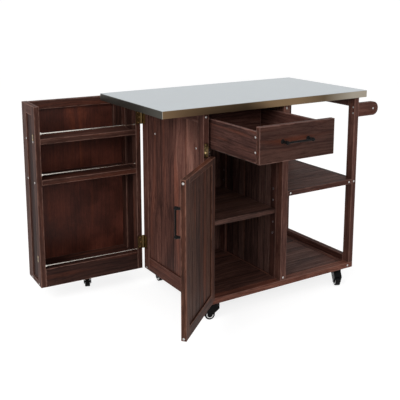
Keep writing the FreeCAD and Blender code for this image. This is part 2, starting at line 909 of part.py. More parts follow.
def add_drawer():
    """A box on runner members, with an applied front and a bar pull."""
    left = size.post_width + size.drawer_side_gap
    right = divider_left - size.drawer_side_gap
    wall = size.drawer_side_thickness
    bottom = drawer_bottom
    front = size.drawer_front_thickness
    length = drawer_length
    face_width = bay_width - size.drawer_front_gap * 2
    face_height = size.drawer_front_height
    inner_width = right - left - wall * 2
    screws = drawer_screw_places()

    node("drawer_front", DRAWER, [board(
        "front_board", size.post_width + size.drawer_front_gap, ZERO, bottom,
        face_width, front, face_height,
    )])
    sides = [
        board("drawer_side", side, front, bottom, wall, length, size.drawer_side_height)
        for side in (left, right - wall)
    ]
    floor_left = left + wall - size.drawer_groove_depth
    floor_size = (inner_width + size.drawer_groove_depth * 2, length - size.drawer_end_thickness * 2,
                  size.drawer_bottom_thickness)
    floor_corner = (floor_left, front + size.drawer_end_thickness, bottom + size.drawer_bottom_lift)
    groove = board("drawer_groove", *floor_corner, *floor_size)
    node("drawer_sides", DRAWER, sides, [groove] + all_at(short_hole, screws))
    node("drawer_bottom", DRAWER, [board("bottom_board", *floor_corner, *floor_size)])
    end_bottom = bottom + size.drawer_end_lift
    end_height = size.drawer_side_height - size.drawer_end_lift
    ends = [
        board("drawer_end", left + wall, line, end_bottom,
              inner_width, size.drawer_end_thickness, end_height)
        for line in (front, front + length - size.drawer_end_thickness)
    ]
    node("drawer_ends", DRAWER, ends, all_at(short_hole, screws))
    node("drawer_screws", DRAWER, all_at(short_screw, screws))
    pull_left = size.post_width + bay_width / 2 - size.drawer_pull_shift - size.pull_length / 2
    pull_level = bottom + face_height / 2 + size.drawer_pull_lift
    add_pull(
        "drawer_pull", DRAWER, pull_left, ZERO, pull_level,
        size.pull_length, size.pull_spacing, AGAINST_Y, "x",
    )

    metal = size.runner_sheet
    middle = runner_bottom + size.runner_height / 2
    web_bottom = middle - size.runner_overlap
    web_height = bottom - web_bottom
    plate = size.runner_plate_length
    roller_back = front + length - size.roller_inset
    members = []
    for web, flange, roller, turn in (
        (left - metal, left - metal, left, AGAINST_X),
        (right, right - wall, right, ALONG_X),
    ):
        members.append(joined("drawer_runner", [
            board("member_web", web, front + length - plate, web_bottom, metal, plate, web_height),
            board("member_flange", flange, front, bottom - metal, wall + metal, length, metal),
            dowel("member_roller", roller, roller_back, middle, size.roller_radius,
                  metal + size.roller_width, turn),
        ]))
    node("drawer_runners", DRAWER, members)


def hinge_leaf(name, leaf_width, leaf_height, thickness, gap, barrel, holes, with_pin):
    """A leaf with its knuckles about its own Z, centred on its height and spreading along +X.

    The leaf with the pin has the two end knuckles; the other has the middle one, bored for the pin.
    """
    third = leaf_height / 3
    pin = barrel / 2
    reach = size.seat_gap
    plate = board(f"{name}_plate", ZERO, gap, -leaf_height / 2, leaf_width, thickness, leaf_height)
    bore = pin + size.running_fit
    if with_pin:
        room = dowel(f"{name}_room", ZERO, ZERO, -third / 2 - reach, barrel + reach, third + reach * 2)
        knuckles = [
            dowel(f"{name}_knuckle", ZERO, ZERO, -leaf_height / 2, barrel, third - reach),
            dowel(f"{name}_knuckle", ZERO, ZERO, third / 2 + reach, barrel, third - reach),
        ]
        plain = cut_from(f"{name}_plate_cut", plate, [room])
        blank = joined(f"{name}_blank", [plain] + knuckles)
        drilled = cut_from(f"{name}_drilled", blank, holes) if holes else blank
        rod = dowel(f"{name}_pin", ZERO, ZERO, -leaf_height / 2, pin, leaf_height)
        return joined(name, [drilled, rod])
    rooms = [
        dowel(f"{name}_room", ZERO, ZERO, -leaf_height / 2 - reach, barrel + reach, third + reach),
        dowel(f"{name}_room", ZERO, ZERO, third / 2, barrel + reach, third + reach),
    ]
    knuckle = dowel(f"{name}_knuckle", ZERO, ZERO, -third / 2, barrel, third)
    plain = cut_from(f"{name}_plate_cut", plate, rooms)
    blank = joined(f"{name}_blank", [plain, knuckle])
    way = dowel(f"{name}_bore", ZERO, ZERO, -leaf_height, bore, leaf_height * 2)
    return cut_from(name, blank, [way] + holes)


def leaf_screws(leaf_width, leaf_height, face, turn):
    """Three countersunk screws in a zigzag, on the face of a leaf."""
    zigzag_shares = ((0.62, -0.36), (0.42, 0), (0.62, 0.36))
    return [
        spot(leaf_width * across, face, leaf_height * up, turn)
        for across, up in zigzag_shares
    ]


door_hinge_levels = (door_bottom + size.door_hinge_inset, door_top - size.door_hinge_inset)
swing_hinge_levels = (size.swing_hinge_low, height - size.swing_hinge_drop)
door_leaf_screws = leaf_screws(size.door_leaf_width, size.door_leaf_height, size.door_leaf_gap, ALONG_Y)
swing_cart_leaf_screws = leaf_screws(
    size.swing_leaf_width, size.swing_leaf_height,
    size.swing_cart_gap - size.swing_leaf_thickness, ALONG_Y,
)
swing_leaf_screws = leaf_screws(
    size.swing_leaf_width, size.swing_leaf_height, size.swing_leaf_thickness, AGAINST_Y,
)


def door_post_frames():
    """Where the door's fixed leaves stand on the left post."""
    return [spot(door_pin_left, -size.door_barrel_radius, level, about_z(90)) for level in door_hinge_levels]


def door_leaf_frames():
    """Where the moving leaves stand on the door's edge."""
    return [
        spot(ZERO, ZERO, level, f"{about_z(90)} * {DOWNWARD}") for level in door_hinge_levels
    ]


def swing_cart_frames():
    """Where the swing cabinet's fixed leaves stand on the left rear stile."""
    return [
        spot(-size.swing_cart_gap, depth, level, about_z(-90)) for level in swing_hinge_levels
    ]


def swing_leaf_frames():
    """Where the moving leaves stand on the swing cabinet's front stile."""
    return [spot(ZERO, ZERO, level) for level in swing_hinge_levels]


def at_each(frames, places):
    """Every place in every frame."""
    return [f"{frame} * {place}" for frame in frames for place in places]


def door_post_hinge_screws():
    """Screws of the door's fixed leaves."""
    return at_each(door_post_frames(), door_leaf_screws)


def swing_cart_hinge_screws():
    """Screws of the swing cabinet's fixed leaves."""
    return at_each(swing_cart_frames(), swing_cart_leaf_screws)


def plate_screws(left, centre, wide, tall, face, turn):
    """Four countersunk screws in a zigzag down an upright plate seen from its face."""
    zigzag_shares = ((0.3, 0.4), (0.7, 0.14), (0.3, -0.14), (0.7, -0.4))
    return [
        (left + wide * across, face, centre + tall * up, turn)
        for across, up in zigzag_shares
    ]


def latch_screw_places():
    """Screws of the two latch plates on the left front post."""
    places = []
    for level in (size.latch_low, latch_high):
        for place in plate_screws(size.latch_left, level, size.latch_width, size.latch_height,
                                  -size.latch_thickness, ALONG_Y):
            places.append(spot(*place))
    return places


def add_latches():
    """Two brass plates with a slanted tongue each, on the face of the left front post."""
    plates = []
    metal = size.latch_thickness
    for level in (size.latch_low, latch_high):
        plate = board("latch_plate", size.latch_left, -metal, level - size.latch_height / 2,
                      size.latch_width, metal, size.latch_height)
        tongue = document.addObject("Part::Box", "latch_tongue")
        bind(tongue, Length=size.latch_tongue_length, Width=metal, Height=size.latch_tongue_width,
             Placement=spot(size.latch_left + size.latch_width / 2, -metal * 2, level,
                            f"rotation(vector(0; 1; 0); -{size.latch_tongue_angle})"))
        plates.append(joined("latch", [plate, tongue]))
    node("latch_plates", CART, plates, all_at(brass_hole, latch_screw_places()))


def add_cart_hinge_leaves():
    """The fixed leaves of both pairs of hinges, with their pins."""
    door_leaf = hinge_leaf(
        "door_post_leaf", size.door_leaf_width, size.door_leaf_height, size.door_leaf_thickness,
        size.door_leaf_gap, size.door_barrel_radius, all_at(brass_hole, door_leaf_screws), True,
    )
    swing_leaf = hinge_leaf(
        "swing_post_leaf", size.swing_leaf_width, size.swing_leaf_height, size.swing_leaf_thickness,
        size.swing_cart_gap - size.swing_leaf_thickness, size.swing_barrel_radius,
        all_at(brass_hole, swing_cart_leaf_screws), True,
    )
    node("door_post_leaves", CART, all_at(door_leaf, door_post_frames()))
    node("swing_post_leaves", CART, all_at(swing_leaf, swing_cart_frames()))


def add_cart_screws():
    """Pan-head screws of the frame and countersunk brass ones of its hinges and plates."""
    places = screw_places_front()
    towel = towel_screw_places()
    short = places["front"] + places["apron"] + places["left_rear"] + runner_screw_places()
    long = towel["front_post"] + towel["rear_post"] + towel["bar"]
    node("frame_screws", CART, all_at(short_screw, short) + all_at(long_screw, long))
    brass = latch_screw_places() + door_post_hinge_screws() + swing_cart_hinge_screws()
    node("brass_screws", CART, all_at(brass_screw, brass))


def add_door():
    """A framed plank door in its own closed frame, whose origin is the hinge pin."""
    left = size.door_left_gap - size.door_leaf_gap - size.door_leaf_thickness
    front = size.door_barrel_radius
    thick = size.door_thickness
    bottom = door_bottom
    stile = size.door_stile_width
    free_left = left + door_width - stile
    inner = door_width - stile * 2
    top_rail_low = door_top - size.door_top_rail
    boards_bottom = bottom + size.door_bottom_rail
    middle = front + thick / 2
    levels = (bottom + size.door_screw_bottom_inset, door_top - size.door_screw_top_inset)
    right_edge = left + door_width
    edge_screws = [spot(right_edge, middle, level, AGAINST_X) for level in levels]
    hinge_screws = at_each(door_leaf_frames(), door_leaf_screws)

    node("door_stiles", DOOR, [
        board("hinge_stile", left, front, bottom, stile, thick, door_height),
        board("free_stile", free_left, front, bottom, stile, thick, door_height),
    ], all_at(brass_hole, hinge_screws) + all_at(long_hole, edge_screws))
    node("door_rails", DOOR, [
        board("door_bottom_rail", left + stile, front, bottom, inner, thick, size.door_bottom_rail),
        board("door_top_rail", left + stile, front, top_rail_low, inner, thick, size.door_top_rail),
    ], all_at(long_hole, edge_screws))
    node("door_boards", DOOR, plank_row(
        "door_plank", number_of(size.door_plank_count), left + stile, front + size.door_plank_recess,
        boards_bottom, inner, size.door_plank_thickness, top_rail_low - boards_bottom, "x",
    ))
    node("door_screws", DOOR, all_at(long_screw, edge_screws))
    add_pull(
        "door_pull", DOOR, right_edge - size.door_pull_inset, front, door_top - size.door_pull_drop,
        size.door_pull_length, size.door_pull_spacing, AGAINST_Y, "z",
    )
    leaf = hinge_leaf(
        "door_leaf", size.door_leaf_width, size.door_leaf_height, size.door_leaf_thickness,
        size.door_leaf_gap, size.door_barrel_radius, all_at(brass_hole, door_leaf_screws), False,
    )
    node("door_leaves", DOOR, all_at(leaf, door_leaf_frames()))
    node("door_hinge_screws", DOOR, all_at(brass_screw, hinge_screws))


# Places in the swing cabinet's frame: X along it from the pin, Y = 0 its open front and -Y its back
swing_left = size.swing_pin_gap
swing_right = size.swing_pin_gap + size.swing_length
swing_inner_left = swing_left + size.swing_post_width
swing_inner = size.swing_length - size.swing_post_width * 2
swing_free_post = swing_right - size.swing_post_width
swing_upper_shelf = swing_top - size.swing_upper_shelf_drop
swing_middle_shelf = swing_upper_shelf - size.swing_shelf_spacing
swing_back = -size.swing_depth
swing_back_panel = swing_back + size.swing_panel_recess
swing_back_inner = swing_back_panel + size.swing_back_thickness


def swing_screw_places():
    """Pan-head screws into both ends of the shelves and of the end rails, from the end faces."""
    levels = [swing_upper_shelf + size.swing_shelf_thickness / 2,
              swing_middle_shelf + size.swing_shelf_thickness / 2,
              size.swing_bottom_rail / 2]
    places = []
    for level in levels:
        for line in (size.swing_screw_front, size.swing_screw_back):
            places.append(spot(swing_right, -line, level, AGAINST_X))
            places.append(spot(swing_left, -line, level, ALONG_X))
    return places


def keeper_screws():
    """Two countersunk screws in each keeper plate on the free end."""
    places = []
    middle = size.keeper_inset + size.keeper_width / 2
    for level in (size.latch_low, latch_high):
        for side in (-1, 1):
            rise = size.keeper_rise + size.keeper_height / 3 * side
            places.append(spot(swing_right + size.latch_thickness, -middle, level + rise, AGAINST_X))
    return places


def add_swing_frame():
    """Four stiles, the rails between them, the end panels and the back."""
    post = size.swing_post_width
    top = swing_top
    screws = all_at(long_hole, swing_screw_places())
    hinge_screws = at_each(swing_leaf_frames(), swing_leaf_screws)
    ends = (swing_left, swing_free_post)
    stiles = []
    for left in ends:
        stiles.append(board("swing_front_stile", left, -size.swing_front_stile_depth, ZERO,
                            post, size.swing_front_stile_depth, top))
        stiles.append(board("swing_rear_stile", left, swing_back, ZERO,
                            post, size.swing_rear_stile_depth, top))
    holes = screws + all_at(brass_hole, hinge_screws + keeper_screws())
    node("swing_stiles", SWING, stiles, holes)

    between_back = swing_back + size.swing_rear_stile_depth
    between = -size.swing_front_stile_depth - between_back
    rails = []
    for left in ends:
        rails.append(board("swing_end_top_rail", left, between_back, top - size.swing_top_rail,
                           post, between, size.swing_top_rail))
        rails.append(board("swing_end_bottom_rail", left, between_back, ZERO,
                           post, between, size.swing_bottom_rail))
    thick = size.swing_back_rail_thickness
    rails.append(board("swing_back_rail", swing_inner_left, swing_back_inner, top - size.swing_back_rail,
                       swing_inner, thick, size.swing_back_rail))
    rails.append(board("swing_back_stile", swing_inner_left, swing_back_inner,
                       swing_upper_shelf + size.swing_shelf_thickness, size.swing_back_stile, thick,
                       top - size.swing_back_rail - swing_upper_shelf - size.swing_shelf_thickness))
    node("swing_rails", SWING, rails)

    panel_height = top - size.swing_top_rail - size.swing_bottom_rail
    recess = size.swing_panel_recess
    panels = [
        board("swing_end_panel", left, between_back, size.swing_bottom_rail,
              size.swing_panel_thickness, between, panel_height)
        for left in (swing_left + recess, swing_right - recess - size.swing_panel_thickness)
    ]
    node("swing_end_panels", SWING, panels)
    node("swing_back_panel", SWING, [board(
        "back_panel", swing_inner_left, swing_back_panel, ZERO, swing_inner, size.swing_back_thickness, top,
    )])


def add_swing_shelves():
    """Shelves, their front boards, the base board and the rods that keep things from falling out."""
    lip = size.swing_lip_thickness
    shelf_depth = -swing_back_inner - lip
    thick = size.swing_shelf_thickness
    shelves = (swing_upper_shelf, swing_middle_shelf, size.swing_floor)
    screws = all_at(long_hole, swing_screw_places())
    boards = [
        board("swing_shelf", swing_inner_left, swing_back_inner, level, swing_inner, shelf_depth, thick)
        for level in shelves
    ]
    boards.append(board("swing_base_board", swing_inner_left, swing_back_inner, ZERO,
                        swing_inner, shelf_depth, size.swing_bottom_rail))
    node("swing_shelves", SWING, boards, screws)
    fronts = [
        board("shelf_front", swing_inner_left, -lip, level - size.swing_lip_drop,
              swing_inner, lip, size.swing_lip_height)
        for level in shelves[:2]
    ]
    fronts.append(board("bottom_front", swing_inner_left, -lip, ZERO,
                        swing_inner, lip, size.swing_front_board))
    node("swing_front_boards", SWING, fronts)

    rods = []
    cup = size.rod_cup_length
    for level in shelves:
        line = level + thick + size.rod_rise
        rods.append(dowel("rod", swing_inner_left, -size.rod_inset, line,
                          size.rod_radius, swing_inner, ALONG_X))
        for start in (swing_inner_left, swing_free_post - cup):
            ring = dowel("rod_cup", start, -size.rod_inset, line, size.rod_cup_radius, cup, ALONG_X)
            way = dowel("rod_cup_bore", start, -size.rod_inset, line,
                        size.rod_radius + size.running_fit, cup, ALONG_X)
            rods.append(cut_from("rod_end_cup", ring, [way]))
    node("swing_rods", SWING, rods)


def add_swing_hardware():
    """Hinge leaves, keeper plates and the screws of the swing cabinet."""
    hinge_screws = at_each(swing_leaf_frames(), swing_leaf_screws)
    leaf = hinge_leaf(
        "swing_leaf", size.swing_leaf_width, size.swing_leaf_height, size.swing_leaf_thickness,
        ZERO, size.swing_barrel_radius, all_at(brass_hole, swing_leaf_screws), False,
    )
    node("swing_leaves", SWING, all_at(leaf, swing_leaf_frames()))
    plates = [
        board("keeper", swing_right, -size.keeper_inset - size.keeper_width,
              level + size.keeper_rise - size.keeper_height / 2,
              size.latch_thickness, size.keeper_width, size.keeper_height)
        for level in (size.latch_low, latch_high)
    ]
    node("swing_keepers", SWING, plates, all_at(brass_hole, keeper_screws()))
    node("swing_screws", SWING, all_at(long_screw, swing_screw_places()))
    node("swing_brass_screws", SWING, all_at(brass_screw, hinge_screws + keeper_screws()))


def caster_plate():
    """A square plate with the kingpin that the fork turns on, hanging from Z = 0."""
    side = size.caster_plate_size
    thick = size.caster_plate_thickness
    crown = size.fork_crown_thickness
    plate = board("plate", -side / 2, -side / 2, -thick, side, side, thick)
    shank = thick + size.seat_gap * 2 + crown
    head = size.kingpin_head_thickness
    return joined("caster_plate", [
        plate,
        dowel("kingpin", ZERO, ZERO, -shank, size.kingpin_radius, shank),
        dowel("kingpin_head", ZERO, ZERO, -shank - head, size.kingpin_head_radius, head),
    ])


def caster_fork():
    """A fork with tapering cheeks under a deep crown with a round cover, and the wheel's axle."""
    top = -size.caster_plate_thickness - size.seat_gap
    under_crown = top - size.fork_crown_thickness
    axle_height = size.wheel_radius - size.caster_height
    trail = -size.fork_trail
    boss = size.fork_boss_radius
    front, back = size.fork_crown_reach, trail - size.fork_hood_reach
    room_half = size.wheel_width / 2 + size.fork_wheel_gap
    half = room_half + size.fork_wall

    body = document.addObject("PartDesign::Body", "fork_side")
    sketch = sketch_on(body, "XZ_Plane")
    draw_outline(sketch, [
        (back, under_crown), (back + size.fork_crown_thickness, top),
        (front, top), (front, under_crown),
        (trail + boss, axle_height), (trail - boss, axle_height),
    ])
    pad = body.newObject("PartDesign::Pad", "fork_pad")
    pad.Profile = sketch
    pad.SideType = "Symmetric"
    bind(pad, Length=half * 2)

    overrun = size.cut_overrun
    ear = dowel("fork_boss", trail, -half, axle_height, boss, half * 2, ALONG_Y)
    cover = dowel("fork_cover", ZERO, ZERO, top - size.fork_cover_thickness,
                  size.fork_cover_radius, size.fork_cover_thickness)
    blank = joined("fork_blank", [body, ear, cover])
    shell = cut_from("fork_shell", blank, [
        board("wheel_room", back - overrun, -room_half, axle_height - boss - overrun,
              front - back + overrun * 2, room_half * 2, under_crown - axle_height + boss + overrun),
        dowel("kingpin_bore", ZERO, ZERO, under_crown - overrun,
              size.kingpin_radius + size.running_fit, size.fork_crown_thickness + overrun * 2),
    ])
    axle = dowel("axle", trail, -half, axle_height, size.axle_radius, half * 2, ALONG_Y)
    return joined("caster_fork", [shell, axle])


def caster_wheel():
    """A wheel about its own Z with rounded edges, a recessed hub on each side and a bore for the axle."""
    half = size.wheel_width / 2
    bore = size.axle_radius + size.running_fit
    edge = size.wheel_edge_radius
    radius = size.wheel_radius
    hub = size.hub_radius
    shallow = half - size.hub_recess
    return turned("caster_wheel", [
        (bore, -half), (hub - edge, -half), (hub, -shallow), (radius - edge * 2, -shallow),
        (radius - edge, -half), (radius, edge - half), (radius, half - edge), (radius - edge, half),
        (radius - edge * 2, shallow), (hub, shallow), (hub - edge, half), (bore, half),
    ])


def add_casters():
    """Four casters under the cart and one under the swing cabinet: plate, swivelling fork and wheel."""
    plate = caster_plate()
    fork = caster_fork()
    wheel = caster_wheel()
    side, end = size.caster_side_inset, size.caster_end_inset
    axle_height = size.wheel_radius - size.caster_height
    across = f"{spot(-size.fork_trail, ZERO, axle_height, ALONG_Y)}"
    corners = {
        "front_left": (side, end, size.front_left_swivel),
        "front_right": (width - side, end, size.front_right_swivel),
        "rear_left": (side, depth - end, size.rear_left_swivel),
        "rear_right": (width - side, depth - end, size.rear_right_swivel),
    }
    plates = [spot(x, y, ZERO) for x, y, swivel in corners.values()]
    node("caster_plates", CART, all_at(plate, plates))
    places = {
        name: f"{CART} * {spot(x, y, ZERO, about_z(swivel))}"
        for name, (x, y, swivel) in corners.items()
    }
    swing_spot = (size.swing_caster_along, -size.swing_caster_across, ZERO)
    node("swing_caster_plate", SWING, all_at(plate, [spot(*swing_spot)]))
    places["swing"] = f"{SWING} * {spot(*swing_spot, about_z(size.swing_swivel))}"
    for name, place in places.items():
        node(f"{name}_fork", place, [fork])
        node(f"{name}_wheel", f"{place} * {across}", [wheel])


def check_built():
    """Stop if any object failed or any sub-part is not a sound solid."""
    for thing in document.Objects:
        if {"Invalid", "Error"} & set(thing.State):
            raise RuntimeError(f"{thing.Label} failed: {thing.State}")
    for thing in nodes:
        shape = thing.Shape
        if shape.isNull() or not shape.isValid() or not shape.Solids:
            raise RuntimeError(f"{thing.Label} is not a sound solid")


def centre_origin():
    """Move the origin below the middle of the whole cart's bounding box."""
    box = FreeCAD.BoundBox()
    for thing in nodes:
        box.add(thing.Shape.BoundBox)
    sheet.set(sheet.getCellFromAlias("origin_right"), str(box.Center.x))
    sheet.set(sheet.getCellFromAlias("origin_back"), str(box.Center.y))
    document.recompute()


add_worktop()
add_posts()
add_base()
add_walls()
add_top_rails()
add_open_shelf()
add_cabinet_shelf()
add_towel_rail()
add_cart_runners()
add_drawer()
add_latches()
add_cart_hinge_leaves()
add_cart_screws()
add_door()
add_swing_frame()
add_swing_shelves()
add_swing_hardware()
add_casters()
document.recompute()
centre_origin()
check_built()

os.makedirs("parts", exist_ok=True)
for thing in nodes:
    thing.Shape.exportStep(f"parts/{thing.Label}.step")
print(len(nodes), "sub-parts")
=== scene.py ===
import json
import math

import bpy
import numpy as np
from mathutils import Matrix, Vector


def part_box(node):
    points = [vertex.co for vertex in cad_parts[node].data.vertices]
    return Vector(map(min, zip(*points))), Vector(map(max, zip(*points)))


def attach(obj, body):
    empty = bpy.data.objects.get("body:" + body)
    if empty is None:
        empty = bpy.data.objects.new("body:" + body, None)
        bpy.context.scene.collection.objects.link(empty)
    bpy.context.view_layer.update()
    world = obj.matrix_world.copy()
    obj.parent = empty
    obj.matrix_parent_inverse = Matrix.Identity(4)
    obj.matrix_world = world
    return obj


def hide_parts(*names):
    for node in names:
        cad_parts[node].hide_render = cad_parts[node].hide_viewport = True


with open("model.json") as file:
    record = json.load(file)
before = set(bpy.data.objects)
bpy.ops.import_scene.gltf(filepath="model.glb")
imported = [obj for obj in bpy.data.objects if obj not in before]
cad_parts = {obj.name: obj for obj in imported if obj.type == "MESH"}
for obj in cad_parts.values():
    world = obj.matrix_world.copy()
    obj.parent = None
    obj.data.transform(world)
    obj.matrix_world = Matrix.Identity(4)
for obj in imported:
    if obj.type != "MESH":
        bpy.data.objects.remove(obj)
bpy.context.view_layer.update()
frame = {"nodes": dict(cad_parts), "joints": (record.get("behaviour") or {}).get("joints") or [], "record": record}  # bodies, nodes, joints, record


# Shader nodes

def shader_node(tree, kind, wires=None, **options):
    """One node with its options set. A wire is a socket to link from, or a value for the input."""
    node = tree.nodes.new(kind)
    for option, value in options.items():
        setattr(node, option, value)
    for key, source in (wires or {}).items():
        if isinstance(source, bpy.types.NodeSocket):
            tree.links.new(source, node.inputs[key])
        else:
            node.inputs[key].default_value = source
    return node


def sums(tree, operation, first, second=0.0, third=0.0):
    """The result of one step of arithmetic on values."""
    wires = {0: first, 1: second, 2: third}
    return shader_node(tree, "ShaderNodeMath", wires, operation=operation).outputs[0]


def vectors(tree, operation, first, second=(0.0, 0.0, 0.0)):
    """The result of one step of arithmetic on vectors."""
    return shader_node(tree, "ShaderNodeVectorMath", {0: first, 1: second}, operation=operation).outputs[0]


def spread(tree, value, low, high, out_low=0.0, out_high=1.0, kind="SMOOTHSTEP"):
    """The value between low and high, spread over the other range and held beyond it."""
    wires = {"Value": value, "From Min": low, "From Max": high, "To Min": out_low, "To Max": out_high}
    node = shader_node(tree, "ShaderNodeMapRange", wires, interpolation_type=kind)
    return node.outputs["Result"]


def ramp(tree, value, stops):
    """A colour that runs through the stops as the value goes from 0 to 1."""
    node = shader_node(tree, "ShaderNodeValToRGB", {0: value})
    marks = node.color_ramp.elements
    marks[0].position, marks[-1].position = stops[0][0], stops[-1][0]
    for place, _ in stops[1:-1]:
        marks.new(place)
    for mark, (_, colour) in zip(marks, stops):
        mark.color = (*colour, 1)
    return node.outputs["Color"]


def cloud(tree, place, stretch, detail=3.0, roughness=0.55):
    """Noise over a place, with the number of swings per metre along each of its three directions."""
    scaled = vectors(tree, "MULTIPLY", place, stretch)
    wires = {"Vector": scaled, "Scale": 1.0, "Detail": detail, "Roughness": roughness}
    return shader_node(tree, "ShaderNodeTexNoise", wires).outputs["Fac"]


def blend(tree, share, first, second, kind="MIX"):
    """Two colours mixed by a share."""
    wires = {0: share, 6: first, 7: second}
    return shader_node(tree, "ShaderNodeMix", wires, data_type="RGBA", blend_type=kind).outputs[2]


def new_group(name, inputs, outputs):
    """An empty node group with named sockets. Returns its tree, its input sockets and its output node."""
    tree = bpy.data.node_groups.new(name, "ShaderNodeTree")
    for label, (kind, value) in inputs.items():
        socket = tree.interface.new_socket(label, in_out="INPUT", socket_type=kind)
        socket.default_value = value
    for label, kind in outputs.items():
        tree.interface.new_socket(label, in_out="OUTPUT", socket_type=kind)
    entry = tree.nodes.new("NodeGroupInput")
    leave = tree.nodes.new("NodeGroupOutput")
    return tree, entry.outputs, leave


# The kinds of socket that the groups have
NUMBER, PLACE, COLOUR = "NodeSocketFloat", "NodeSocketVector", "NodeSocketColor"


def edge_group():
    """Marks a band along a board's edges: the timber paints it pale on most boards, as rubbed wear and a
    painted highlight, and dark on grooved planks, as painted shade.

    The distances to the three pairs of faces are half the size less the distance from the middle.
    On a face the smallest is nothing, so the middle one of the three is the distance to the nearest edge.
    """
    tree, given, leave = new_group(
        "edge_band",
        {"Spot": (PLACE, (0, 0, 0)), "Half": (PLACE, (0.1, 0.1, 0.1)), "Width": (NUMBER, 0.004)},
        {"Mask": NUMBER},
    )
    far = vectors(tree, "SUBTRACT", given["Half"], vectors(tree, "ABSOLUTE", given["Spot"]))
    parts = shader_node(tree, "ShaderNodeSeparateXYZ", {0: far}).outputs
    total = sums(tree, "ADD", sums(tree, "ADD", parts[0], parts[1]), parts[2])
    least = sums(tree, "MINIMUM", sums(tree, "MINIMUM", parts[0], parts[1]), parts[2])
    most = sums(tree, "MAXIMUM", sums(tree, "MAXIMUM", parts[0], parts[1]), parts[2])
    middle = sums(tree, "SUBTRACT", sums(tree, "SUBTRACT", total, least), most)
    patches = cloud(tree, given["Spot"], (34, 90, 90), 3)
    reach = sums(tree, "MULTIPLY", given["Width"], spread(tree, patches, 0.3, 0.68, 0.25, 1.25))
    closeness = sums(tree, "SUBTRACT", 1.0, sums(tree, "DIVIDE", middle, reach))
    tree.links.new(spread(tree, closeness, 0.0, 0.75), leave.inputs["Mask"])
    return tree


def grain_group():
    """Stained timber in a board's own directions: along it, across it and into it.

    Streaks are noise drawn out along the board, and each board starts at its own place in the pattern.
    """
    tree, given, leave = new_group(
        "stained_grain",
        {
            "Spot": (PLACE, (0, 0, 0)), "Lot": (PLACE, (0.5, 0.5, 0.5)),
            "Dark": (COLOUR, (0.02, 0.01, 0.01, 1)), "Middle": (COLOUR, (0.06, 0.03, 0.02, 1)),
            "Light": (COLOUR, (0.13, 0.07, 0.05, 1)), "Red": (COLOUR, (0.2, 0.06, 0.03, 1)),
            "Contrast": (NUMBER, 1.0), "Red Share": (NUMBER, 0.6),
        },
        {"Color": COLOUR, "Height": NUMBER, "Streak": NUMBER},
    )
    lot = given["Lot"]
    tone = shader_node(tree, "ShaderNodeSeparateXYZ", {0: lot}).outputs[0]
    place = vectors(tree, "ADD", given["Spot"], vectors(tree, "MULTIPLY", lot, (9.0, 7.0, 5.0)))
    drift = cloud(tree, place, (2.6, 8.0, 8.0), 1)
    wander = sums(tree, "MULTIPLY", sums(tree, "SUBTRACT", drift, 0.5), 0.05)
    sway = shader_node(tree, "ShaderNodeCombineXYZ", {"Y": wander, "Z": wander}).outputs[0]
    place = vectors(tree, "ADD", place, sway)

    broad = cloud(tree, place, (1.7, 17.0, 17.0), 2)
    bands = cloud(tree, place, (4.0, 140.0, 140.0), 3, 0.6)
    threads = cloud(tree, place, (9.0, 420.0, 420.0), 3, 0.65)
    pores = cloud(tree, place, (46.0, 900.0, 900.0), 2, 0.6)
    level = sums(tree, "MULTIPLY", broad, 0.25)
    level = sums(tree, "MULTIPLY_ADD", bands, 0.45, level)
    level = sums(tree, "MULTIPLY_ADD", threads, 0.30, level)
    level = sums(tree, "MULTIPLY_ADD", sums(tree, "SUBTRACT", level, 0.5), given["Contrast"], 0.5)
    level = sums(tree, "ADD", level, sums(tree, "MULTIPLY", sums(tree, "SUBTRACT", tone, 0.5), 0.16))

    stain = blend(tree, spread(tree, level, 0.36, 0.52), given["Dark"], given["Middle"])
    stain = blend(tree, spread(tree, level, 0.5, 0.68), stain, given["Light"])
    flame = cloud(tree, vectors(tree, "ADD", place, (3.0, 1.0, 2.0)), (1.5, 24.0, 24.0), 2, 0.5)
    flame = sums(tree, "MULTIPLY", spread(tree, flame, 0.55, 0.72), given["Red Share"])
    stain = blend(tree, flame, stain, given["Red"])
    pore = spread(tree, pores, 0.36, 0.5, 0.62, 1.0)
    stain = blend(tree, 1.0, stain, pore, "MULTIPLY")
    tree.links.new(stain, leave.inputs["Color"])
    height = sums(tree, "MULTIPLY_ADD", pore, 0.5, sums(tree, "MULTIPLY", threads, 0.5))
    tree.links.new(height, leave.inputs["Height"])
    tree.links.new(bands, leave.inputs["Streak"])
    return tree


def handling_group():
    """Uneven gloss and tone from handling: wide soft smears with fine specks over them."""
    tree, given, leave = new_group(
        "handled_surface",
        {"Spot": (PLACE, (0, 0, 0)), "Smears": (NUMBER, 9.0), "Specks": (NUMBER, 240.0)},
        {"Smear": NUMBER, "Speck": NUMBER},
    )
    for label, key, detail in (("Smear", "Smears", 4.0), ("Speck", "Specks", 2.0)):
        wires = {"Vector": given["Spot"], "Scale": given[key], "Detail": detail}
        tree.links.new(shader_node(tree, "ShaderNodeTexNoise", wires).outputs["Fac"], leave.inputs[label])
    return tree


edge_band = edge_group()
stained_grain = grain_group()
handled_surface = handling_group()


def grouped(tree, group, wires):
    """The outputs of a node that places a group in a material."""
    return shader_node(tree, "ShaderNodeGroup", wires, node_tree=group).outputs


def new_material(name):
    """A material with nothing but its Principled shader. Returns the material, its tree and the shader."""
    material = bpy.data.materials.new(name)
    material.use_nodes = True
    tree = material.node_tree
    tree.nodes.clear()
    shader = tree.nodes.new("ShaderNodeBsdfPrincipled")
    end = tree.nodes.new("ShaderNodeOutputMaterial")
    tree.links.new(shader.outputs["BSDF"], end.inputs["Surface"])
    return material, tree, shader


def relief(tree, shader, height, strength, depth):
    """Bumps of one height map on the shader's normal."""
    wires = {"Height": height, "Strength": strength, "Distance": depth}
    bump = shader_node(tree, "ShaderNodeBump", wires)
    tree.links.new(bump.outputs["Normal"], shader.inputs["Normal"])


def object_place(tree):
    """The object's own coordinates, in metres."""
    return shader_node(tree, "ShaderNodeTexCoord").outputs["Object"]


# Timber

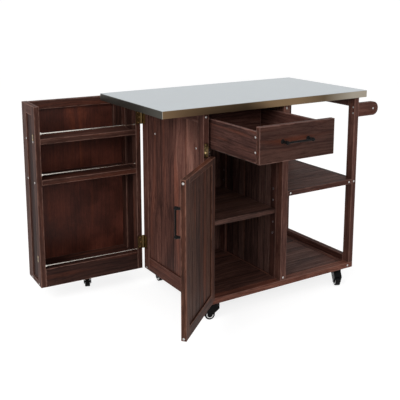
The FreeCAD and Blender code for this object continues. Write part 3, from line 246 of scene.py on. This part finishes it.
def timber(name, dark, middle, light, red, contrast, red_share, edge, edge_share):
    """Stained timber that reads each board's own directions from its attributes."""
    material, tree, shader = new_material(name)
    spot, half, lot = (
        shader_node(tree, "ShaderNodeAttribute", attribute_name=key).outputs["Vector"]
        for key in ("board_spot", "board_half", "board_lot")
    )
    grain = grouped(tree, stained_grain, {
        "Spot": spot, "Lot": lot, "Dark": (*dark, 1), "Middle": (*middle, 1), "Light": (*light, 1),
        "Red": (*red, 1), "Contrast": contrast, "Red Share": red_share,
    })
    # Each node's factors, which hold painted light and shade as well as the stain
    stain_and_light = shader_node(tree, "ShaderNodeAttribute", attribute_name="board_stain_and_light").outputs["Color"]
    edge_kind = shader_node(tree, "ShaderNodeAttribute", attribute_name="board_edge_kind").outputs["Fac"]
    near_edge = grouped(tree, edge_band, {"Spot": spot, "Half": half, "Width": 0.0045})["Mask"]
    # Edges painted pale, partly as rubbed wear and partly as a painted highlight; on grooved planks the band
    # is darkened instead, as painted shade in the groove
    rubbed_edge_and_highlight = sums(tree, "MULTIPLY", sums(tree, "MULTIPLY", near_edge, edge_share), edge_kind)
    groove_shade = sums(tree, "MULTIPLY", near_edge, sums(tree, "SUBTRACT", 1.0, edge_kind))
    groove_shade = spread(tree, groove_shade, 0.0, 1.0, 1.0, 0.35)
    hands = grouped(tree, handled_surface, {"Spot": object_place(tree), "Smears": 6.0, "Specks": 170.0})
    # The handling smears, with the painted groove shade multiplied in
    smear_and_groove_shade = sums(tree, "MULTIPLY", spread(tree, hands["Smear"], 0.25, 0.75, 0.82, 1.18), groove_shade)
    colour = blend(tree, 1.0, grain["Color"], stain_and_light, "MULTIPLY")
    colour = blend(tree, rubbed_edge_and_highlight, colour, (*edge, 1))
    tree.links.new(blend(tree, 1.0, colour, smear_and_groove_shade, "MULTIPLY"), shader.inputs["Base Color"])
    shader.inputs["Specular IOR Level"].default_value = 0.10
    gloss = spread(tree, grain["Streak"], 0.3, 0.7, 0.62, 0.50)
    gloss = sums(tree, "MULTIPLY_ADD", hands["Smear"], 0.12, gloss)
    tree.links.new(gloss, shader.inputs["Roughness"])
    relief(tree, shader, grain["Height"], 0.35, 0.0006)
    return material


def plywood():
    """Red-brown stained plywood: a wide rotary-cut figure with a mottled glaze."""
    material, tree, shader = new_material("plywood")
    spot, lot = (
        shader_node(tree, "ShaderNodeAttribute", attribute_name=key).outputs["Vector"]
        for key in ("board_spot", "board_lot")
    )
    grain = grouped(tree, stained_grain, {
        "Spot": spot, "Lot": lot, "Dark": (0.038, 0.0112, 0.0076, 1), "Middle": (0.074, 0.0200, 0.0125, 1),
        "Light": (0.106, 0.035, 0.022, 1), "Red": (0.128, 0.032, 0.015, 1), "Contrast": 0.55,
        "Red Share": 0.7,
    })
    hands = grouped(tree, handled_surface, {"Spot": object_place(tree), "Smears": 9.0, "Specks": 120.0})
    glaze = spread(tree, hands["Smear"], 0.3, 0.7, 0.62, 1.36)
    tree.links.new(blend(tree, 1.0, grain["Color"], glaze, "MULTIPLY"), shader.inputs["Base Color"])
    shader.inputs["Specular IOR Level"].default_value = 0.2
    tree.links.new(spread(tree, hands["Smear"], 0.3, 0.7, 0.44, 0.6), shader.inputs["Roughness"])
    relief(tree, shader, grain["Height"], 0.2, 0.0004)
    return material


# Metal, plastic and rubber

def brushed(name, colour, shade, stretch, roughness, swing, strength=0.25):
    """Metal with fine scratches drawn out one way and a soft change of tone."""
    material, tree, shader = new_material(name)
    spot = object_place(tree)
    lines = cloud(tree, spot, stretch, 4, 0.65)
    hands = grouped(tree, handled_surface, {"Spot": spot, "Smears": 7.0, "Specks": 300.0})
    tone = sums(tree, "MULTIPLY_ADD", hands["Smear"], 0.5, sums(tree, "MULTIPLY", lines, 0.5))
    tree.links.new(blend(tree, spread(tree, tone, 0.35, 0.65), (*shade, 1), (*colour, 1)),
                   shader.inputs["Base Color"])
    low, high = roughness - swing, roughness + swing
    tree.links.new(spread(tree, tone, 0.3, 0.7, low, high), shader.inputs["Roughness"])
    shader.inputs["Metallic"].default_value = 1.0
    relief(tree, shader, lines, strength, 0.0002)
    return material


# The worktop's front, left and right faces and its top
TOP_FRONT, TOP_LEFT, TOP_RIGHT, TOP_LEVEL = -0.1893, -0.4006, 0.607, 0.874


def steel_top():
    """Brushed steel sheet, with the tones painted on its folded edges that they have in the photograph.

    They are painted reflections of what the edges mirror there, and stay as they are when something below
    them moves. The front edge has a warm painted reflection as of wood, a dim one over the drawer and the
    open bay, and a pale one at its right end; the left edge has a dark painted reflection, and the corner
    where the two meet a painted highlight.
    """
    material, tree, shader = new_material("stainless")
    spot = object_place(tree)
    parts = shader_node(tree, "ShaderNodeSeparateXYZ", {0: spot}).outputs
    lines = cloud(tree, spot, (3.0, 520.0, 520.0), 4, 0.6)
    hands = grouped(tree, handled_surface, {"Spot": spot, "Smears": 3.2, "Specks": 420.0})
    tone = sums(tree, "MULTIPLY_ADD", hands["Smear"], 0.6, sums(tree, "MULTIPLY", lines, 0.4))
    sheet = blend(tree, spread(tree, tone, 0.34, 0.66), (0.435, 0.475, 0.50, 1), (0.515, 0.555, 0.575, 1))
    # Colours of the front edge's painted reflections: of wood, of the drawer and the open bay, and of the
    # pale room
    warm, dim, pale = (0.200, 0.130, 0.072), (0.110, 0.076, 0.045), (0.350, 0.310, 0.250)
    painted_front_reflection = ramp(tree, spread(tree, parts[0], TOP_LEFT, TOP_RIGHT, kind="LINEAR"), [
        (0.0, warm), (0.2, warm), (0.37, dim), (0.48, warm), (0.62, warm), (0.76, dim), (0.92, pale),
        (1.0, pale),
    ])
    fold = spread(tree, parts[2], TOP_LEVEL - 0.0018, TOP_LEVEL - 0.0002, 1.0, 0.0)
    front = spread(tree, parts[1], TOP_FRONT + 0.0017, TOP_FRONT + 0.0003)
    front = sums(tree, "MULTIPLY", front, fold)
    # A dark painted reflection on the left edge
    side = spread(tree, parts[0], TOP_LEFT + 0.0014, TOP_LEFT + 0.0002)
    side = sums(tree, "MULTIPLY", side, fold)
    sheet = blend(tree, front, sheet, painted_front_reflection)
    sheet = blend(tree, side, sheet, (0.10, 0.095, 0.08, 1))
    # A painted highlight where the front and left edges meet
    corner = sums(tree, "MULTIPLY", sums(tree, "MULTIPLY", front, side), 1.4)
    sheet = blend(tree, sums(tree, "MINIMUM", corner, 1.0), sheet, (0.62, 0.60, 0.55, 1))
    tree.links.new(sheet, shader.inputs["Base Color"])
    tree.links.new(spread(tree, tone, 0.3, 0.7, 0.30, 0.42), shader.inputs["Roughness"])
    shader.inputs["Metallic"].default_value = 1.0
    relief(tree, shader, lines, 0.2, 0.0002)
    return material


def moulded(name, colour, shade, roughness, swing, speck_depth, specular):
    """A moulded, painted or dull surface, with a fine texture and rubbed patches."""
    material, tree, shader = new_material(name)
    hands = grouped(tree, handled_surface, {"Spot": object_place(tree), "Smears": 38.0, "Specks": 900.0})
    share = spread(tree, hands["Smear"], 0.35, 0.68)
    tree.links.new(blend(tree, share, (*shade, 1), (*colour, 1)), shader.inputs["Base Color"])
    low, high = roughness - swing, roughness + swing
    shader.inputs["Specular IOR Level"].default_value = specular
    tree.links.new(spread(tree, hands["Smear"], 0.3, 0.7, high, low), shader.inputs["Roughness"])
    relief(tree, shader, hands["Speck"], 0.3, speck_depth)
    return material


def core_board():
    """Pressed board under the worktop's sheet: flattened chips of paler and darker wood."""
    material, tree, shader = new_material("core_board")
    wires = {"Vector": object_place(tree), "Scale": 260.0}
    chips = shader_node(tree, "ShaderNodeTexVoronoi", wires)
    share = shader_node(tree, "ShaderNodeSeparateColor", {0: chips.outputs["Color"]}).outputs[0]
    tree.links.new(blend(tree, share, (0.11, 0.075, 0.05, 1), (0.24, 0.17, 0.11, 1)),
                   shader.inputs["Base Color"])
    tree.links.new(spread(tree, share, 0.0, 1.0, 0.75, 0.9), shader.inputs["Roughness"])
    relief(tree, shader, chips.outputs["Distance"], 0.3, 0.0005)
    return material


finishes = {
    "cart_wood": timber(
        "cart_wood", (0.024, 0.0100, 0.0080), (0.066, 0.0265, 0.0200), (0.130, 0.062, 0.047),
        (0.150, 0.046, 0.027), 1.08, 0.36, (0.165, 0.085, 0.066), 0.55),
    "drawer_wood": timber(
        "drawer_wood", (0.024, 0.0100, 0.0080), (0.062, 0.0255, 0.0195), (0.118, 0.060, 0.047),
        (0.190, 0.056, 0.028), 1.12, 0.50, (0.160, 0.088, 0.072), 0.55),
    "door_wood": timber(
        "door_wood", (0.024, 0.0100, 0.0075), (0.060, 0.0250, 0.0180), (0.115, 0.054, 0.038),
        (0.165, 0.050, 0.026), 1.05, 0.50, (0.165, 0.078, 0.054), 0.60),
    "swing_wood": timber(
        "swing_wood", (0.021, 0.0088, 0.0070), (0.054, 0.0225, 0.0170), (0.105, 0.052, 0.040),
        (0.145, 0.043, 0.024), 1.0, 0.40, (0.170, 0.092, 0.072), 0.55),
    "plywood": plywood(),
    "core_board": core_board(),
    "stainless": steel_top(),
    "zinc": brushed("zinc", (0.50, 0.51, 0.52), (0.36, 0.37, 0.38), (70.0, 70.0, 420.0), 0.38, 0.09),
    "black_zinc": brushed("black_zinc", (0.075, 0.068, 0.062), (0.04, 0.036, 0.033), (70.0, 70.0, 420.0),
                          0.46, 0.09),
    "dull_zinc": moulded("dull_zinc", (0.20, 0.18, 0.185), (0.15, 0.135, 0.14), 0.50, 0.08, 0.0001, 0.2),
    "screw_steel": brushed("screw_steel", (0.66, 0.64, 0.62), (0.44, 0.42, 0.41), (300.0, 300.0, 300.0),
                           0.28, 0.07),
    "brass": brushed("brass", (0.27, 0.185, 0.080), (0.06, 0.042, 0.022), (160.0, 160.0, 420.0), 0.38,
                     0.08),
    "brass_screw": brushed("brass_screw", (0.85, 0.64, 0.34), (0.60, 0.43, 0.2), (300.0, 300.0, 300.0), 0.26,
                           0.06),
    "chrome": brushed("chrome", (0.84, 0.80, 0.74), (0.60, 0.57, 0.52), (120.0, 120.0, 120.0), 0.22, 0.05,
                      0.05),
    "bright_chrome": brushed("bright_chrome", (0.86, 0.85, 0.84), (0.66, 0.65, 0.64), (120.0, 120.0, 120.0),
                             0.20, 0.05, 0.05),
    "black_metal": moulded("black_metal", (0.006, 0.0058, 0.0058), (0.004, 0.0038, 0.0038), 0.40, 0.07,
                           0.00015, 0.07),
    "black_plastic": moulded("black_plastic", (0.0045, 0.0043, 0.0043), (0.0025, 0.0024, 0.0024), 0.28, 0.08,
                             0.00015, 0.06),
    "wheel_rubber": moulded("wheel_rubber", (0.0065, 0.0062, 0.0062), (0.004, 0.0038, 0.0038), 0.42, 0.09,
                            0.0002, 0.06),
}


# Boards with their own grain

def node_arrays(node):
    """A CAD node's corners and its triangles, as arrays, with corners at one place counted once."""
    mesh = node.data
    corners = np.empty(len(mesh.vertices) * 3)
    mesh.vertices.foreach_get("co", corners)
    triangles = np.empty(len(mesh.loops), dtype=np.int64)
    mesh.loops.foreach_get("vertex_index", triangles)
    corners = corners.reshape(-1, 3)
    places, same = np.unique(np.round(corners * 1e5).astype(np.int64), axis=0, return_inverse=True)
    return places / 1e5, same.reshape(-1)[triangles].reshape(-1, 3)


def solid_numbers(triangles):
    """The number of the solid that each triangle belongs to.

    The solids follow one another in a node. An edge is open from its first triangle until the one that
    runs along it the other way, and a solid ends at each triangle that leaves no edge open.
    """
    ends = np.roll(triangles, -1, axis=1)
    low, high = np.minimum(triangles, ends), np.maximum(triangles, ends)
    key = (low * (triangles.max() + 1) + high).reshape(-1)
    order = np.argsort(key, kind="stable")
    way = np.where(triangles < ends, 1, -1).reshape(-1)[order]
    balance = np.abs(np.cumsum(way))
    change = np.empty(len(key), dtype=np.int64)
    change[order] = np.diff(balance, prepend=0)
    still_open = np.cumsum(change.reshape(-1, 3).sum(axis=1))
    closed = np.concatenate([[0], np.cumsum(still_open == 0)[:-1]])
    return closed


def turned_about_z(points, angle):
    """Points turned about the upright axis: x' = x cos a - y sin a and y' = x sin a + y cos a."""
    c, s = math.cos(angle), math.sin(angle)
    x, y, z = points.T
    return np.stack([x * c - y * s, x * s + y * c, z], axis=1)


def board_measures(corners, angle, rng):
    """Each corner's place in its board, the board's half size, and the board's own lot of timber.

    In the board's directions, longest first, a place is counted from the middle of the board.
    """
    local = turned_about_z(corners, -angle)
    low, high = local.min(axis=0), local.max(axis=0)
    order = np.argsort(-(high - low), kind="stable")
    spot = (local - (low + high) / 2)[:, order]
    half = np.broadcast_to(((high - low) / 2)[order], spot.shape)
    lot = np.broadcast_to(rng.random(3), spot.shape)
    return spot, half, lot


def outer_edges(mesh, spot, half):
    """1 for an edge that lies on an edge of its board's box, otherwise 0."""
    pairs = np.empty(len(mesh.edges) * 2, dtype=np.int64)
    mesh.edges.foreach_get("vertices", pairs)
    pairs = pairs.reshape(-1, 2)
    sides = np.where(np.abs(half - np.abs(spot)) < 2e-5, np.sign(spot), 0)
    first, second = sides[pairs[:, 0]], sides[pairs[:, 1]]
    return (((first == second) & (first != 0)).sum(axis=1) >= 2).astype(np.float32)


def dress_boards(name, body, slot, angle, ease):
    """A merged copy of a timber node whose boards carry their own directions and have eased edges."""
    node = frame["nodes"][name]
    corners, triangles = node_arrays(node)
    numbers = solid_numbers(triangles)
    rng = np.random.default_rng(sum(map(ord, name)))
    points, faces, spots, halves, lots, count = [], [], [], [], [], 0
    for number in range(numbers[-1] + 1):
        used, renumbered = np.unique(triangles[numbers == number], return_inverse=True)
        spot, half, lot = board_measures(corners[used], angle, rng)
        points.append(corners[used])
        faces.append(renumbered.reshape(-1, 3) + count)
        spots.append(spot)
        halves.append(half)
        lots.append(lot)
        count += len(used)
    mesh = bpy.data.meshes.new(f"{name}_timber")
    mesh.from_pydata(np.concatenate(points), [], np.concatenate(faces).tolist())
    spot, half = np.concatenate(spots), np.concatenate(halves)
    for key, values in (("board_spot", spot), ("board_half", half), ("board_lot", np.concatenate(lots))):
        layer = mesh.attributes.new(key, "FLOAT_VECTOR", "POINT")
        layer.data.foreach_set("vector", values.astype(np.float32).reshape(-1))
    # The node's factors of stain and of painted light and shade
    stain_and_light = (*stain_and_painted_light.get(name, (1.0, 1.0, 1.0)), 1.0)
    layer = mesh.attributes.new("board_stain_and_light", "FLOAT_COLOR", "POINT")
    layer.data.foreach_set("color", np.tile(stain_and_light, count).astype(np.float32))
    # 1 where a board's edges are painted pale, 0 on grooved planks, whose edges get painted shade
    layer = mesh.attributes.new("board_edge_kind", "FLOAT", "POINT")
    layer.data.foreach_set("value", np.full(count, name not in grooved, dtype=np.float32))
    layer = mesh.attributes.new("bevel_weight_edge", "FLOAT", "EDGE")
    layer.data.foreach_set("value", outer_edges(mesh, spot, half))
    mesh.shade_smooth()
    mesh.set_sharp_from_angle(angle=math.radians(32))
    mesh.materials.append(finishes[slot])
    piece = bpy.data.objects.new(f"{name}_timber", mesh)
    bpy.context.scene.collection.objects.link(piece)
    eased = piece.modifiers.new("eased_edges", "BEVEL")
    eased.limit_method = "WEIGHT"
    eased.width = ease
    eased.segments = 2
    eased.use_clamp_overlap = False
    eased.harden_normals = True
    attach(piece, body)
    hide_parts(name)
    return piece


# Factors on the stain's red, green and blue that bring each node's tone near the photograph's. They hold
# painted light and shade as well as the stain, some nodes painted lighter and others darker, so they suit
# that light, and under another some pieces stand out.
stain_and_painted_light = {
    "front_posts": (0.90, 0.87, 0.85),
    "base_rails": (1.25, 1.05, 0.92),
    "top_rails": (1.1, 1.1, 1.1),
    "floor_boards": (1.12, 1.22, 1.22),
    "left_side_boards": (1.5, 1.55, 1.55),
    "divider_boards": (1.25, 1.55, 1.65),
    "back_boards": (1.3, 1.55, 1.6),
    "cabinet_shelf": (1.2, 1.4, 1.4),
    "open_shelf_boards": (0.95, 0.78, 0.66),
    "towel_arms": (0.76, 0.72, 0.70),
    "towel_bar": (0.85, 0.82, 0.80),
    "drawer_front": (0.42, 0.36, 0.33),
    "drawer_sides": (0.98, 1.0, 1.02),
    "door_boards": (0.62, 0.56, 0.48),
    "door_rails": (0.75, 0.68, 0.6),
    "door_stiles": (0.75, 0.68, 0.6),
    "swing_stiles": (0.74, 0.70, 0.67),
    "swing_rails": (0.86, 0.83, 0.80),
    "swing_end_panels": (0.38, 0.34, 0.34),
    "swing_shelves": (0.85, 0.82, 0.8),
    "swing_front_boards": (0.62, 0.58, 0.55),
}
# Planks that meet in a groove, whose edges are darkened as painted shade, while the edges of the other
# boards are painted pale, as rubbed wear and a painted highlight
grooved = {"back_boards", "divider_boards", "left_side_boards", "door_boards", "floor_boards",
           "open_shelf_boards", "cabinet_shelf"}
slots = {entry["node"]: entry["material_slot"] for entry in frame["record"]["subparts"]}
body_of_node = {
    node: body for body, listed in frame["record"]["behaviour"]["bodies"].items() for node in listed
}
# Nodes that look unlike the other nodes of their slot
own_finishes = {
    "brass_screws": "brass_screw", "door_hinge_screws": "brass_screw", "swing_brass_screws": "brass_screw",
    "cart_runners": "black_zinc", "drawer_runners": "black_zinc",
}
timber_slots = {"cart_wood", "drawer_wood", "door_wood", "swing_wood", "plywood"}
# How far each body stands turned about the upright axis from the cart's directions
body_angles = {"cart": 0.0, "drawer": 0.0, "door": math.radians(-139.5), "swing_cabinet": math.radians(-183)}
for name, slot in slots.items():
    body = body_of_node[name]
    if slot in timber_slots:
        ease = 0.0025 if name == "door_boards" else 0.0012
        dress_boards(name, body, slot, body_angles[body], ease)
    else:
        node = frame["nodes"][name]
        node.data.materials.clear()
        node.data.materials.append(finishes[own_finishes.get(name, slot)])


# Caster wheels

def turned_surface(profile, centre, axis, steps=72):
    """A closed profile carried round an axis.

    A profile point at radius r and offset h goes to centre + h axis + r (u cos t + v sin t), where u and v
    stand square to the axis and t runs round the circle.
    """
    radius, offset = np.asarray(profile).T
    axis = np.asarray(axis, dtype=float)
    across = np.cross(axis, (0.0, 0.0, 1.0))
    across /= np.linalg.norm(across)
    up = np.cross(axis, across)
    turn = np.linspace(0, 2 * math.pi, steps, endpoint=False)[:, None, None]
    spin = np.cos(turn) * across + np.sin(turn) * up
    points = np.asarray(centre) + offset[None, :, None] * axis + radius[None, :, None] * spin
    count = len(radius)
    ring, along = np.meshgrid(np.arange(steps), np.arange(count), indexing="ij")
    after, beside = (ring + 1) % steps, (along + 1) % count
    quads = np.stack([ring * count + along, after * count + along,
                      after * count + beside, ring * count + beside], axis=-1)
    return points.reshape(-1, 3), quads.reshape(-1, 4)


def rounded_section(inner, outer, half, corner, steps=5):
    """A rectangle from one radius to another, half wide to each side, with its corners rounded."""
    turn = np.linspace(0, math.pi / 2, steps)
    middles = [(outer - corner, half - corner, 0.0), (inner + corner, half - corner, 0.5),
               (inner + corner, corner - half, 1.0), (outer - corner, corner - half, 1.5)]
    arcs = []
    for radius, offset, start in middles:
        way = turn + start * math.pi
        arcs.append(np.stack([radius + corner * np.cos(way), offset + corner * np.sin(way)], axis=1))
    return np.concatenate(arcs)


def add_piece(name, surfaces, body, finish, replaced=()):
    """A smooth piece that rides on a body, of closed surfaces that are each given as points and quads."""
    starts = np.cumsum([0] + [len(points) for points, _ in surfaces])
    points = np.concatenate([points for points, _ in surfaces])
    quads = np.concatenate([faces + start for (_, faces), start in zip(surfaces, starts)])
    mesh = bpy.data.meshes.new(name)
    mesh.from_pydata(points, [], quads.tolist())
    mesh.shade_smooth()
    mesh.set_sharp_from_angle(angle=math.radians(50))
    mesh.materials.append(finishes[finish])
    piece = bpy.data.objects.new(name, mesh)
    bpy.context.scene.collection.objects.link(piece)
    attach(piece, body)
    if replaced:
        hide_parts(*replaced)


def wheel_sections(radius, half=0.011, hub=0.015, bore=0.0042):
    """The sections of the tyre, with rounded shoulders, and of the thinner web inside it."""
    tyre = rounded_section(hub, radius, half, 0.0026)
    web = rounded_section(bore, hub + 0.001, half - 0.0026, 0.0004)
    return [tyre, web]


def hub_ring_sections(offset=0.0096):
    """The sections of the bright rings on the two sides of a wheel."""
    ring = rounded_section(0.0112, 0.0148, 0.0011, 0.0008)
    return [ring - (0.0, offset), ring + (0.0, offset)]


for joint in frame["joints"]:
    if joint["name"].endswith("_spin"):
        wheel = joint["child"]
        corner = joint["name"].removesuffix("_spin")
        low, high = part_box(wheel)
        centre, axis = joint["pos_m"], joint["axis"]
        sections = wheel_sections((high[2] - low[2]) / 2)
        tyre = [turned_surface(section, centre, axis) for section in sections]
        add_piece(f"{corner}_tyre", tyre, wheel, "wheel_rubber", [wheel])
        rings = [turned_surface(section, centre, axis) for section in hub_ring_sections()]
        add_piece(f"{corner}_hub_rings", rings, wheel, "bright_chrome")


# Collars of the bar pulls

def collar_profile(reach, steps=30):
    """A collar from the board's face to the outside of the bar, round a core of 3 mm.

    The radius is 5 mm, more by 3.6 mm times e to the minus square of the height over 3 mm at the foot,
    and more by 1.8 mm times a smooth step where it takes the bar.
    """
    height = np.linspace(0.0004, reach - 0.0004, steps)
    foot = 0.0036 * np.exp(-((height - height[0]) / 0.003) ** 2)
    step = np.clip((height - reach + 0.014) / 0.005, 0.0, 1.0)
    radius = 0.005 + foot + 0.0018 * step * step * (3 - 2 * step)
    radius[-1] -= 0.0009
    outside = np.stack([radius, height], axis=1)
    return np.concatenate([[(0.003, height[0])], outside, [(0.003, height[-1])]])


def add_collars(name, body, along, inset=0.007):
    """A collar on each post of a bar pull; along is the bar's axis in the body's own directions."""
    angle = body_angles[body]
    corners, _ = node_arrays(frame["nodes"][name])
    local = turned_about_z(corners, -angle)
    low, high = local.min(axis=0), local.max(axis=0)
    roots = np.tile((low + high) / 2, (2, 1))
    roots[:, 1] = high[1]
    roots[:, along] = low[along] + inset, high[along] - inset
    outward = turned_about_z(np.array([[0.0, -1.0, 0.0]]), angle)[0]
    profile = collar_profile(high[1] - low[1])
    collars = [turned_surface(profile, root, outward, 40) for root in turned_about_z(roots, angle)]
    add_piece(f"{name}_collars", collars, body, "black_metal")


add_collars("drawer_pull", "drawer", 0)
add_collars("door_pull", "door", 2)


# Sleeves of the shelf's pin holes

def add_pin_sleeves(hole_depth=0.006, spacing=0.048, half_lip=0.0003):
    """The lip of a sleeve round each hole for a shelf pin: at each pin, and two holes above and below."""
    corners, triangles = node_arrays(frame["nodes"]["shelf_pins"])
    numbers = solid_numbers(triangles)
    middle = corners[:, 0].mean()
    lip = rounded_section(0.0032, 0.0043, half_lip, 0.0001, 3)
    sleeves = []
    for number in range(numbers[-1] + 1):
        pin = corners[np.unique(triangles[numbers == number])]
        centre = (pin.min(axis=0) + pin.max(axis=0)) / 2
        if centre[0] > middle:
            centre[0] = pin[:, 0].max() - hole_depth - half_lip
        else:
            centre[0] = pin[:, 0].min() + hole_depth + half_lip
        for row in range(-2, 3):
            place = centre + (0.0, 0.0, row * spacing)
            sleeves.append(turned_surface(lip, place, (1.0, 0.0, 0.0), 24))
    add_piece("pin_sleeves", sleeves, "cart", "dull_zinc")


add_pin_sleeves()


# Floor, light and camera

def floor_material():
    """A pale floor that reaches white in the camera's eye, except where the object shades it."""
    material, tree, shader = new_material("studio_floor")
    shader.inputs["Roughness"].default_value = 0.9
    shader.inputs["Specular IOR Level"].default_value = 0.0
    rays = tree.nodes.new("ShaderNodeLightPath").outputs
    seen = sums(tree, "MAXIMUM", rays["Is Camera Ray"], rays["Is Glossy Ray"])
    tree.links.new(blend(tree, seen, (0.80, 0.80, 0.80, 1), (0.30, 0.30, 0.30, 1)),
                   shader.inputs["Base Color"])
    tree.links.new(sums(tree, "MULTIPLY", seen, 0.80), shader.inputs["Emission Strength"])
    shader.inputs["Emission Color"].default_value = (1, 1, 1, 1)
    return material


def studio_floor(front=9.0, back=7.0, radius=3.0, top=9.0, half_width=14.0):
    """A flat floor with a curved rise behind: the height is a quarter circle of the distance behind."""
    distance = np.concatenate([[-front], np.linspace(back, back + radius, 16)])
    past = np.maximum(0.0, distance - back)
    lift = radius - np.sqrt(np.maximum(0.0, radius ** 2 - past ** 2))
    distance, lift = np.append(distance, back + radius), np.append(lift, top)
    side = np.array([-half_width, half_width])
    view = math.radians(-32)
    ahead = np.array([-math.sin(view), math.cos(view), 0.0])
    right = np.array([math.cos(view), math.sin(view), 0.0])
    points = (side[:, None, None] * right + distance[None, :, None] * ahead
              + lift[None, :, None] * np.array([0.0, 0.0, 1.0]))
    points[..., 2] -= 0.0002
    count = len(distance)
    quads = [(i, i + count, i + count + 1, i + 1) for i in range(count - 1)]
    mesh = bpy.data.meshes.new("studio_floor")
    mesh.from_pydata(points.reshape(-1, 3), [], quads)
    mesh.shade_smooth()
    mesh.materials.append(floor_material())
    floor = bpy.data.objects.new("studio_floor", mesh)
    bpy.context.scene.collection.objects.link(floor)


def studio_world():
    """A white room for the camera and for reflections, and a softer light on everything else."""
    world = bpy.data.worlds.new("studio")
    bpy.context.scene.world = world
    world.use_nodes = True
    tree = world.node_tree
    tree.nodes.clear()
    rays = tree.nodes.new("ShaderNodeLightPath").outputs
    seen = sums(tree, "MAXIMUM", rays["Is Camera Ray"], rays["Is Glossy Ray"])
    seen = sums(tree, "MAXIMUM", seen, rays["Is Transmission Ray"])
    level = spread(tree, seen, 0.0, 1.0, 0.66, 1.0)
    sky = shader_node(tree, "ShaderNodeBackground", {"Color": (1, 1, 1, 1), "Strength": level})
    end = tree.nodes.new("ShaderNodeOutputWorld")
    tree.links.new(sky.outputs[0], end.inputs["Surface"])


def lamp(name, spot, target, width, height, power):
    """A soft rectangular lamp turned to a target, which leaves no glare on metal."""
    light = bpy.data.lights.new(name, "AREA")
    light.shape = "RECTANGLE"
    light.size, light.size_y, light.energy = width, height, power
    holder = bpy.data.objects.new(name, light)
    holder.location = spot
    holder.rotation_euler = (Vector(target) - Vector(spot)).to_track_quat("-Z", "Y").to_euler()
    holder.visible_glossy = False
    bpy.context.scene.collection.objects.link(holder)


def camera():
    """The photograph's view: a frame 400 pixels wide, a focal length in pixels and a small shift."""
    focal_pixels, frame_pixels = 725.7, 400
    eye = bpy.data.cameras.new("camera")
    eye.sensor_width = 36.0
    eye.lens = focal_pixels * eye.sensor_width / frame_pixels
    eye.shift_y = -0.18
    holder = bpy.data.objects.new("camera", eye)
    holder.location = (-1.6491, -2.4190, 1.3140)
    holder.rotation_euler = (math.radians(90 - 11.09), 0.0, math.radians(-32.26))
    bpy.context.scene.collection.objects.link(holder)
    bpy.context.scene.camera = holder


bpy.context.scene.view_settings.view_transform = "Standard"
studio_floor()
studio_world()
lamp("key", (-4.4, -1.9, 3.2), (0.0, 0.0, 0.4), 2.6, 2.6, 170)
lamp("fill", (-1.5, -4.2, 2.8), (0.1, 0.0, 0.3), 2.4, 1.8, 75)
lamp("top", (0.0, 0.2, 4.2), (0.0, 0.0, 0.0), 3.0, 3.0, 25)
camera()
